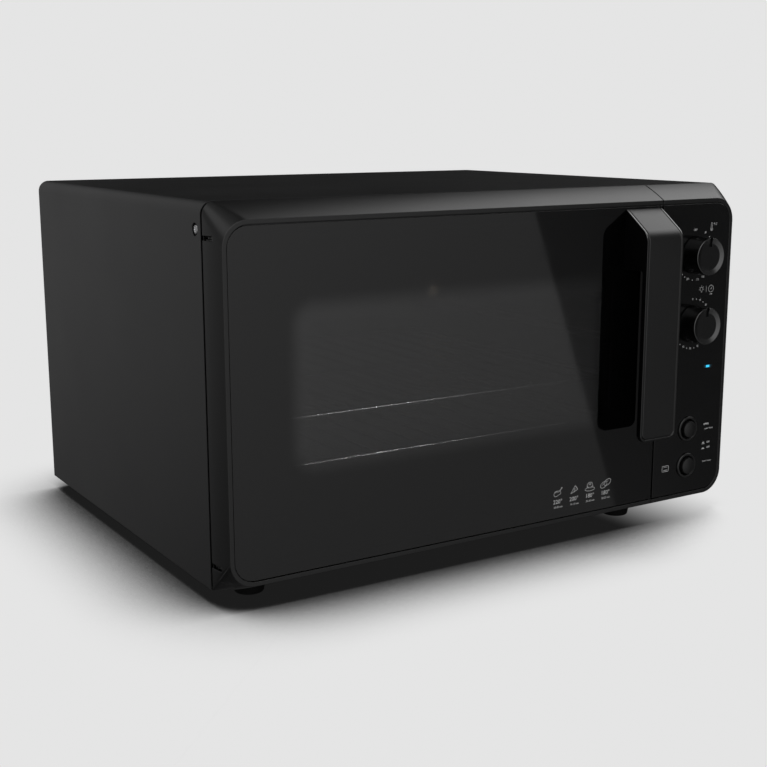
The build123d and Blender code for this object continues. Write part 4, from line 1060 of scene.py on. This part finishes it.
def rubber_material(name, shade):
    """Matt rubber with a fine moulded grain."""
    shader = Shader(name)
    point, _ = shader.place()
    grain = shader.noise(point, 1400.0, 2.0)
    dust = shader.noise(point, 60.0, 3.0)
    tone = shader.blend(dust.ramp(0.4, 0.8), rgba(shade), rgba(shade, 1.5))
    normal = shader.bumped(grain, 0.3, 0.0001, shader.soft_edges(0.0006))
    shader.principled(Base_Color=tone, Roughness=0.72 + (dust - 0.5) * 0.15, IOR=MATT, Normal=normal)
    return shader.material


def fascia_material(finish):
    """Glossy black sheet with the faintest waviness."""
    shader = Shader("fascia_gloss")
    point, _ = shader.place()
    wave = shader.noise(point, 18.0, 1.0)
    smear = shader.noise(point, 30.0, 4.0, 0.6, (1.0, 1.0, 2.5))
    normal = shader.bumped(wave, 0.02, 0.0004, shader.soft_edges(GLASS_EDGE))
    tone = shader.blend(smear.ramp(0.3, 0.8), rgba(finish.glass), rgba(finish.glass, 1.5))
    shader.principled(Base_Color=tone, Roughness=0.07 + smear.ramp(0.45, 0.8) * 0.05, IOR=GLASS,
                      Normal=normal)
    return shader.material


def rounded_window(across, up, box, corner, fade):
    """1 inside a rounded rectangle (low x, high x, low z, high z), 0 outside, with a soft border: a ramp
    on the distance past the centres of the corner circles."""
    middle_x = (box[0] + box[1]) / 2
    middle_z = (box[2] + box[3]) / 2
    reach_x = abs(across - middle_x) - ((box[1] - box[0]) / 2 - corner)
    reach_z = abs(up - middle_z) - ((box[3] - box[2]) / 2 - corner)
    past_x = reach_x.math("MAXIMUM", 0.0)
    past_z = reach_z.math("MAXIMUM", 0.0)
    distance = (past_x * past_x + past_z * past_z).math("SQRT")
    return 1.0 - distance.ramp(corner - fade / 2, corner + fade / 2)


def door_glass_material(finish, window_box):
    """Smoked glass, printed black except for the viewing window."""
    shader = Shader("door_smoked_glass")
    point, (across, _, up) = shader.place()
    corner = 0.016
    clear = rounded_window(across, up, window_box, corner, finish.window_fade)
    wave = shader.noise(point, 12.0, 1.0)
    smear = shader.noise(point, 22.0, 4.0, 0.6, (1.0, 1.0, 2.0))
    normal = shader.bumped(wave, 0.02, 0.0004, shader.soft_edges(GLASS_EDGE))
    tone = shader.blend(clear, rgba(finish.glass), rgba(finish.glass, 2.0))
    shader.principled(Base_Color=tone, Roughness=0.025 + smear.ramp(0.45, 0.8) * 0.02, IOR=GLASS,
                      Coat_Weight=clear, Coat_IOR=GLASS_COAT, Coat_Roughness=0.03,
                      Alpha=1.0 - finish.print_clear - clear * (finish.window_clear - finish.print_clear),
                      Normal=normal)
    shader.material.surface_render_method = "BLENDED"
    return shader.material


def clear_glass_material(name, tint, solid, glow=0.0):
    """Clear pane or dome: mostly see-through, with its reflections kept; a lit dome glows a little."""
    shader = Shader(name)
    point, _ = shader.place()
    smear = shader.noise(point, 26.0, 4.0, 0.6)
    normal = shader.soft_edges(GLASS_EDGE)
    shader.principled(Base_Color=rgba(tint), Roughness=0.04 + smear.ramp(0.4, 0.8) * 0.08, IOR=GLASS,
                      Alpha=solid + smear.ramp(0.5, 0.9) * 0.05, Emission_Color=rgba(tint),
                      Emission_Strength=glow, Normal=normal)
    shader.material.surface_render_method = "BLENDED"
    return shader.material


def ceramic_material():
    """Unglazed lamp-holder ceramic."""
    shader = Shader("lamp_ceramic")
    point, _ = shader.place()
    speck = shader.noise(point, 500.0, 3.0)
    tone = shader.blend(speck.ramp(0.4, 0.7), (0.62, 0.58, 0.50, 1.0), (0.74, 0.70, 0.62, 1.0))
    normal = shader.bumped(speck, 0.2, 0.0001, shader.soft_edges(0.0006))
    shader.principled(Base_Color=tone, Roughness=0.7 + (speck - 0.5) * 0.1, Normal=normal)
    return shader.material


def glow_material(name, shade, strength, rough, node, reach):
    """A lit lens: coloured plastic with its own light, which fades from the node's middle, sideways and
    more than twice as soon up and down. Its colour fades with that light nearly to black: painted shade
    on the unlit part of the lens."""
    shader = Shader(name)
    point, (across, _, up) = shader.place()
    cloud = shader.noise(point, 600.0, 2.0)
    tone = shader.blend(cloud.ramp(0.3, 0.7), rgba(shade, 0.9), rgba(shade, 1.1))
    low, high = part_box(node)
    sideways = abs(across - (low[0] + high[0]) / 2)
    upwards = abs(up - (low[2] + high[2]) / 2) * 2.2
    dim = sideways.math("MAXIMUM", upwards).ramp(reach * 0.6, reach)
    light = shader.blend(dim, tone, rgba(shade, 0.01))
    # The base colour darkens with the light away from the middle: painted shade, not the plastic's own
    # colour.
    shader.principled(Base_Color=shader.blend(dim, tone, rgba(shade, 0.03)),
                      Roughness=rough + (cloud - 0.5) * 0.05, Emission_Color=light,
                      Emission_Strength=strength, Normal=shader.soft_edges(0.0003))
    return shader.material


def ink_material(finish):
    """Screen-printed ink: slightly uneven grey."""
    shader = Shader("printed_ink")
    point, _ = shader.place()
    grain = shader.noise(point, 2500.0, 2.0)
    tone = shader.blend(grain.ramp(0.3, 0.7), rgba(finish.ink, 0.85), rgba(finish.ink, 1.1))
    shader.principled(Base_Color=tone, Roughness=0.55 + (grain - 0.5) * 0.1)
    return shader.material


# ------------------------------------------------------------------ studio values

# The racks' lamps: side in metres, where they are and where they point in the shared frame, and the
# rack that each lights with its energy in watts.
RACK_LAMP_SIZE = 0.35
RACK_LAMP_PLACE = (1.05, -2.0, 1.3)
RACK_LAMP_AIM = (-0.1, 0.0, 0.15)
RACK_LAMPS = (("rack_lower", 310.0), ("rack_upper", 85.0))

# Soft boxes that gloss sees, each with its azimuth and elevation, how far from its middle it reaches
# and is at its full, all in degrees, and its strength. The first is the key light at the right.
KEY_BOX = (86.0, 42.0, 30.0, 9.0, 2.3)
SIDE_BOXES = ((-84.0, 50.0, 24.0, 8.0, 0.7), (-127.0, -8.0, 34.0, 10.0, 0.22),
              (-176.0, 30.0, 30.0, 10.0, 0.14))

# X and Z on the front glass where the reflection of the front panel ends, at the top and the bottom.
SHEEN_EDGE = ((323.0, 300.0), (414.0, 55.0))
# The front panel's tone at its dim end, and what each step of its width adds.
PANEL_TONE, PANEL_RISE = 0.29, 0.33
# Tone of the unlit room, of the haze behind the front panel and beside its edge, of the left wall and
# of the floor.
ROOM_TONE, HAZE_TONE, EDGE_TONE, LEFT_TONE, FLOOR_TONE = 0.012, 0.085, 0.06, 0.28, 0.06

WHITE = (1.0, 1.0, 1.0, 1.0)
# Tone of the floor where the oven shuts out all light, and how much is let in at the front right.
SHADOW_TONE = 0.015
SHADOW_LET = 0.35


def heading(azimuth, elevation):
    """A unit vector: azimuth in degrees from the rear towards the right, elevation upwards."""
    turn, rise = math.radians(azimuth), math.radians(elevation)
    return (math.sin(turn) * math.cos(rise), math.cos(turn) * math.cos(rise), math.sin(rise))


# ------------------------------------------------------------------ operators

class OVEN_OT_body(bpy.types.Operator):
    """Finish the sheet-metal body, its feet, screws and cord bush"""

    bl_idname = "oven.body"
    bl_label = "Finish the body"

    def execute(self, context):
        finish = context.scene.oven_finish
        shape = context.scene.oven_shape
        refined(["outer_wrapper"], coat_material("body_coat", finish.coat, 0.36, 520.0, finish.edge))
        inside = coat_material("plate_coat", finish.coat, 0.46, 620.0, 0.0006)
        dress(["front_frame", "base_pan", "back_panel"], inside)
        dress(["rear_support"], metal_material("zinc_sheet", (0.50, 0.50, 0.51), 0.38, 0.0005))
        screws = metal_material("plated_screw", (0.62, 0.62, 0.63), 0.22, 0.0003, grain=900.0)
        rubber = rubber_material("foot_rubber", (0.0015, 0.0015, 0.0015))
        for node, axis in (("side_screws", "X"), ("back_screws", "Y"), ("foot_screws", "Z")):
            screw_surface(shape, node, axis).piece(node[:-1] + "_heads", screws, node)
        for node in SLOT_OF:
            if SLOT_OF[node] == "foot_rubber":
                foot_surface(node).piece(node + "_rubber", rubber, node)
        refined(["cord_bush"], coat_material("bush_plastic", (0.008, 0.008, 0.008), 0.5, 700.0, 0.0006))
        return {"FINISHED"}


class OVEN_OT_chamber(bpy.types.Operator):
    """Finish the oven chamber: liner, tray, racks, heaters and lamp"""

    bl_idname = "oven.chamber"
    bl_label = "Finish the chamber"

    def execute(self, context):
        refined(["cavity_liner", "crumb_tray"], enamel_material())
        chrome = metal_material("rack_chrome", (0.34, 0.34, 0.345), 0.20, 0.0006)
        refined(["rack_lower", "rack_upper"], chrome, 62.0)
        sheath = metal_material("heater_sheath", (0.16, 0.155, 0.15), 0.42, 0.0006, grain=700.0)
        refined(["heater_lower", "heater_upper"], sheath, 55.0)
        dress(["heater_clips"], metal_material("clip_steel", (0.42, 0.41, 0.40), 0.4, 0.0003))
        refined(["lamp_holder"], ceramic_material())
        dome = clear_glass_material("lamp_dome_glass", (0.9, 0.88, 0.82), 0.25, 0.22)
        dome_surface().piece("lamp_dome", dome, "lamp_cover")
        glow = glow_material("lamp_filament_glow", (0.95, 0.80, 0.56), 9.0, 0.2, "lamp_bulb", 0.03)
        refined(["lamp_bulb"], glow)
        return {"FINISHED"}


class OVEN_OT_door(bpy.types.Operator):
    """Finish the door: bezel, smoked glass, inner pane, panel, seal, hinges and catch"""

    bl_idname = "oven.door"
    bl_label = "Finish the door"

    def execute(self, context):
        finish = context.scene.oven_finish
        shape = context.scene.oven_shape
        bezel = coat_material("bezel_satin", finish.plastic, 0.30, 1500.0, finish.edge)
        for node in ("door_frame", "control_bezel"):
            bezel_surface(node, shape, bezel)
        low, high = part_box("door_inner_glass")
        inset = finish.window_inset
        box = (low[0] + inset, high[0] - inset, low[2] + inset, high[2] - inset - finish.window_drop)
        refined(["door_glass"], door_glass_material(finish, box),
                grow=(shape.glass_joint, -shape.seam, shape.glass_rise))
        refined(["door_inner_glass"], clear_glass_material("inner_pane", (0.010, 0.011, 0.011), 0.38))
        panel = metal_material("door_panel_steel", (0.30, 0.30, 0.305), 0.36, 0.0008, grain=420.0)
        refined(["door_inner_panel"], panel)
        refined(["door_gasket"], rubber_material("door_seal", (0.012, 0.012, 0.012)))
        screws = metal_material("door_screw", (0.58, 0.58, 0.59), 0.26, 0.0003, grain=900.0)
        screw_surface(shape, "door_screws", "Y").piece("door_screw_heads", screws, "door_screws")
        dress(["handle_screws"], screws)
        refined(["hinge_pin_lower", "hinge_pin_upper", "hinge_arm_lower", "hinge_arm_upper",
                 "hinge_bush_lower", "hinge_bush_upper"], bezel)
        dress(["catch_striker"], metal_material("striker_steel", (0.46, 0.46, 0.47), 0.34, 0.0004))
        dress(["catch_magnet"], coat_material("magnet_case", (0.02, 0.02, 0.02), 0.5, 900.0, 0.0004))
        return {"FINISHED"}


class OVEN_OT_handle(bpy.types.Operator):
    """Make the handle"""

    bl_idname = "oven.handle"
    bl_label = "Make the handle"

    def execute(self, context):
        shade = context.scene.oven_finish.grip
        grip = coat_material("handle_satin", shade, 0.34, 1500.0, 0.0003)
        rim = coat_material("handle_rim", shade, 0.24, 1500.0, 0.0002, POLISHED)
        side = coat_material("handle_side", shade, 0.55, 1500.0, 0.0001, DEAD)
        surface, kinds = handle_surface(context.scene.oven_shape)
        surface.piece("handle_grip", grip, "handle", sharp=50.0, trims=(rim, side), kinds=kinds)
        return {"FINISHED"}


class OVEN_OT_controls(bpy.types.Operator):
    """Make the knobs, the push buttons and their rings, and finish the parts round them"""

    bl_idname = "oven.controls"
    bl_label = "Make the controls"

    def execute(self, context):
        finish = context.scene.oven_finish
        shape = context.scene.oven_shape
        refined(["control_fascia"], fascia_material(finish),
                grow=(-shape.seam, shape.glass_joint, shape.glass_rise))
        knob = coat_material("knob_satin", finish.grip, 0.26, 1800.0, 0.0002)
        rim = coat_material("knob_rim", finish.grip, 0.20, 1800.0, 0.0001, POLISHED)
        pointer = coat_material("knob_pointer", finish.grip, 0.6, 1800.0, 0.0001, MATT)
        for name in ("temperature", "timer"):
            surface, kinds = knob_surface(shape, name + "_knob", name + "_spindle")
            surface.piece(name + "_dial", knob, name + "_knob", trims=(rim, pointer), kinds=kinds)
        ring = coat_material("ring_satin", finish.plastic, 0.28, 1800.0, 0.0002)
        cap = coat_material("button_satin", finish.grip, 0.36, 1800.0, 0.0002)
        for name in ("upper_heat", "lower_heat"):
            ring_surface(name + "_button_ring").piece(name + "_collar", ring, name + "_button_ring")
            surface, kinds = button_surface(name + "_button", name + "_button_ring")
            surface.piece(name + "_cap", cap, name + "_button", trims=(pointer,), kinds=kinds)
        lens = glow_material("indicator_glow", finish.indicator, 0.62, 0.3, "indicator_lens", 0.0030)
        refined(["indicator_lens"], lens)
        steel = metal_material("bracket_zinc", (0.48, 0.48, 0.49), 0.36, 0.0004)
        dress(["control_bracket", "thermostat", "timer", "temperature_spindle", "timer_spindle"], steel)
        case = coat_material("switch_case", (0.02, 0.02, 0.02), 0.5, 900.0, 0.0005)
        dress(["upper_heat_switch", "lower_heat_switch"], case)
        return {"FINISHED"}


class OVEN_OT_prints(bpy.types.Operator):
    """Print the dishes on the door and the dials and pictures on the control panel"""

    bl_idname = "oven.prints"
    bl_label = "Print the marks"

    def execute(self, context):
        ink = ink_material(context.scene.oven_finish)
        marks = Ink(context.scene.oven_shape)
        door_marks(marks)
        marks.surface.piece("door_print", ink, "door_glass", replaces=False)
        marks = Ink(context.scene.oven_shape)
        panel_marks(marks)
        marks.surface.piece("panel_print", ink, "control_fascia", replaces=False)
        return {"FINISHED"}


class OVEN_OT_studio(bpy.types.Operator):
    """Floor, backdrop, light and camera"""

    bl_idname = "oven.studio"
    bl_label = "Set up the studio"

    def execute(self, context):
        studio = context.scene.oven_studio
        self.floor(context.scene, studio)
        self.room(context.scene, studio)
        for node, energy in RACK_LAMPS:
            self.rack_lamp(context.scene, node, energy)
        self.camera(context.scene, studio)
        context.scene.view_settings.view_transform = "Standard"
        return {"FINISHED"}

    def floor(self, scene, studio):
        """A wide pale sheet; gloss sees the room instead of it. Seen directly, it is the backdrop's tone,
        darkened where the oven shuts out the light within the shadow's reach, and less so at its front
        right corner, where light reaches under it."""
        half = 40.0
        corners = [(-half, -half, 0.0), (half, -half, 0.0), (half, half, 0.0), (-half, half, 0.0)]
        mesh = bpy.data.meshes.new("studio_floor")
        mesh.from_pydata(corners, [], [(0, 1, 2, 3)])
        floor = bpy.data.objects.new("studio_floor", mesh)
        scene.collection.objects.link(floor)
        shader = Shader("studio_floor")
        shader.principled(Base_Color=rgba((studio.floor_tone,) * 3), Roughness=0.9,
                          Specular_IOR_Level=0.0)
        open_sky = shader.node("ShaderNodeAmbientOcclusion", {"samples": 24},
                               {"Distance": studio.shadow}, 1)
        _, (across, deep, _) = shader.place()
        in_front = (0.0 - deep).ramp(0.09, 0.17)
        open_sky = open_sky * (1.0 + across.ramp(0.10, 0.30) * in_front * SHADOW_LET)
        open_sky = open_sky.ramp(0.45, 1.0).math("MAXIMUM", across.ramp(0.15, 0.33) * in_front)
        tone = (SHADOW_TONE + open_sky * (1.0 - SHADOW_TONE)) * studio.backdrop
        seen = shader.node("ShaderNodeEmission", None, {"Color": WHITE, "Strength": tone})
        path = shader.node("ShaderNodeLightPath", output="Is Camera Ray")
        lit = Field(shader, shader.output.inputs["Surface"].links[0].from_socket)
        both = shader.node("ShaderNodeMixShader", None, {0: path, 1: lit, 2: seen})
        shader.plug(shader.output.inputs["Surface"], both)
        mesh.materials.append(shader.material)
        floor.visible_glossy = False

    def room(self, scene, studio):
        """The world: a plain backdrop where it is seen, even light on the surfaces, and for gloss a dim
        room with soft boxes and a front panel. A box is bright where a ray's direction is near its own.
        The panel brightens to the left and upwards, and ends at the plane through the camera's mirror
        image and the sheen's edge on the glass."""
        world = bpy.data.worlds.new("studio_room")
        world.use_nodes = True
        world.cycles.sampling_method = "NONE"
        tree = Tree(world.node_tree, "ShaderNodeOutputWorld")
        _, (across, deep, up) = tree.place("Generated")

        def toward(direction):
            """How near a ray points to a direction: the product of the two, component by component."""
            return across * direction[0] + deep * direction[1] + up * direction[2]

        def soft_box(azimuth, elevation, reach, core, strength):
            """A round light: full within the core's angle of its middle, dark beyond its reach."""
            nearness = toward(heading(azimuth, elevation))
            return nearness.ramp(math.cos(math.radians(reach)), math.cos(math.radians(core))) * strength

        key = soft_box(*KEY_BOX)
        start, end = (self.mirrored(studio, place) for place in SHEEN_EDGE)
        edge = toward(end.cross(start).normalized())
        front = (0.0 - deep).ramp(0.2, 0.55)
        width = ((0.66 - across) / 0.26).math("MINIMUM", 1.4).math("MAXIMUM", 0.0)
        panel = PANEL_TONE + width * PANEL_RISE
        panel = panel * (1.0 + up * 1.6).math("MAXIMUM", 0.1) * edge.ramp(-0.0008, 0.0012)
        haze = (HAZE_TONE + edge.ramp(-0.10, 0.0) * EDGE_TONE) * up.ramp(-0.75, -0.35)
        left = (0.0 - across).ramp(-0.35, 0.15) * up.ramp(-0.55, 0.02) * LEFT_TONE
        below = (0.0 - up).ramp(0.40, 0.80) * FLOOR_TONE
        gloss = ROOM_TONE + key + front * (panel + haze) + left * (1.0 - front) + below
        for box in SIDE_BOXES:
            gloss = gloss + soft_box(*box)
        path = tree.node("ShaderNodeLightPath", output="Is Camera Ray")
        shiny = Field(tree, path.socket.node.outputs["Is Glossy Ray"])
        level = gloss * shiny + studio.ambient * (1.0 - shiny)
        level = level * (1.0 - path) + studio.backdrop * path
        light = tree.node("ShaderNodeBackground", None, {"Color": WHITE, "Strength": level})
        tree.plug(tree.output.inputs["Surface"], light)
        scene.world = world

    def rack_lamp(self, scene, node, energy):
        """A small lamp from the front right for one rack alone, whose front wire catches it as a line."""
        data = bpy.data.lights.new(node + "_lamp", "AREA")
        data.shape = "SQUARE"
        data.size = RACK_LAMP_SIZE
        data.energy = energy
        lamp = bpy.data.objects.new(node + "_lamp", data)
        place = Vector(RACK_LAMP_PLACE)
        aim = Vector(RACK_LAMP_AIM) - place
        lamp.matrix_world = Matrix.Translation(place) @ aim.to_track_quat("-Z", "Y").to_matrix().to_4x4()
        lamp.visible_camera = False
        scene.collection.objects.link(lamp)
        lit = bpy.data.collections.new(node + "_lit")
        lit.objects.link(bpy.data.objects[node + "_skin"])
        lamp.light_linking.receiver_collection = lit

    def mirrored(self, studio, place):
        """Direction in which the front glass shows a place on it to the camera."""
        glass = ORIGIN[1]
        eye = Vector((studio.camera_x, 2 * glass - studio.camera_y, studio.camera_z))
        return (Vector(np.array((place[0], 0.0, place[1])) * MM + ORIGIN) - eye).normalized()

    def camera(self, scene, studio):
        """A camera turned by yaw, pitch and roll from a level view along Y."""
        data = bpy.data.cameras.new("studio_camera")
        data.sensor_width = 36.0
        data.lens = studio.lens
        data.clip_end = 100.0
        camera = bpy.data.objects.new("studio_camera", data)
        turn = (Matrix.Rotation(studio.yaw, 4, "Z") @ Matrix.Rotation(math.pi / 2 + studio.pitch, 4, "X")
                @ Matrix.Rotation(studio.roll, 4, "Z"))
        place = (studio.camera_x, studio.camera_y, studio.camera_z)
        camera.matrix_world = Matrix.Translation(place) @ turn
        scene.collection.objects.link(camera)
        scene.camera = camera


OPERATORS = (OVEN_OT_body, OVEN_OT_chamber, OVEN_OT_door, OVEN_OT_handle, OVEN_OT_controls,
             OVEN_OT_prints, OVEN_OT_studio)


class OVEN_PT_panel(bpy.types.Panel):
    """Sidebar panel with every step in order"""

    bl_label = "Bench oven"
    bl_idname = "OVEN_PT_panel"
    bl_space_type = "VIEW_3D"
    bl_region_type = "UI"
    bl_category = "Bench oven"

    def draw(self, context):
        layout = self.layout
        for group in (context.scene.oven_finish, context.scene.oven_shape, context.scene.oven_studio):
            for name in group.__annotations__:
                layout.prop(group, name)
        for operator in OPERATORS:
            layout.operator(operator.bl_idname)


CLASSES = (OvenFinish, OvenShape, OvenStudio) + OPERATORS + (OVEN_PT_panel,)


def register():
    for cls in CLASSES:
        bpy.utils.register_class(cls)
    bpy.types.Scene.oven_finish = PointerProperty(type=OvenFinish)
    bpy.types.Scene.oven_shape = PointerProperty(type=OvenShape)
    bpy.types.Scene.oven_studio = PointerProperty(type=OvenStudio)


def unregister():
    del bpy.types.Scene.oven_studio
    del bpy.types.Scene.oven_shape
    del bpy.types.Scene.oven_finish
    for cls in reversed(CLASSES):
        bpy.utils.unregister_class(cls)


def main():
    """Run every step in order."""
    register()
    for operator in OPERATORS:
        group, name = operator.bl_idname.split(".")
        getattr(getattr(bpy.ops, group), name)()


if __name__ == "__main__":
    main()
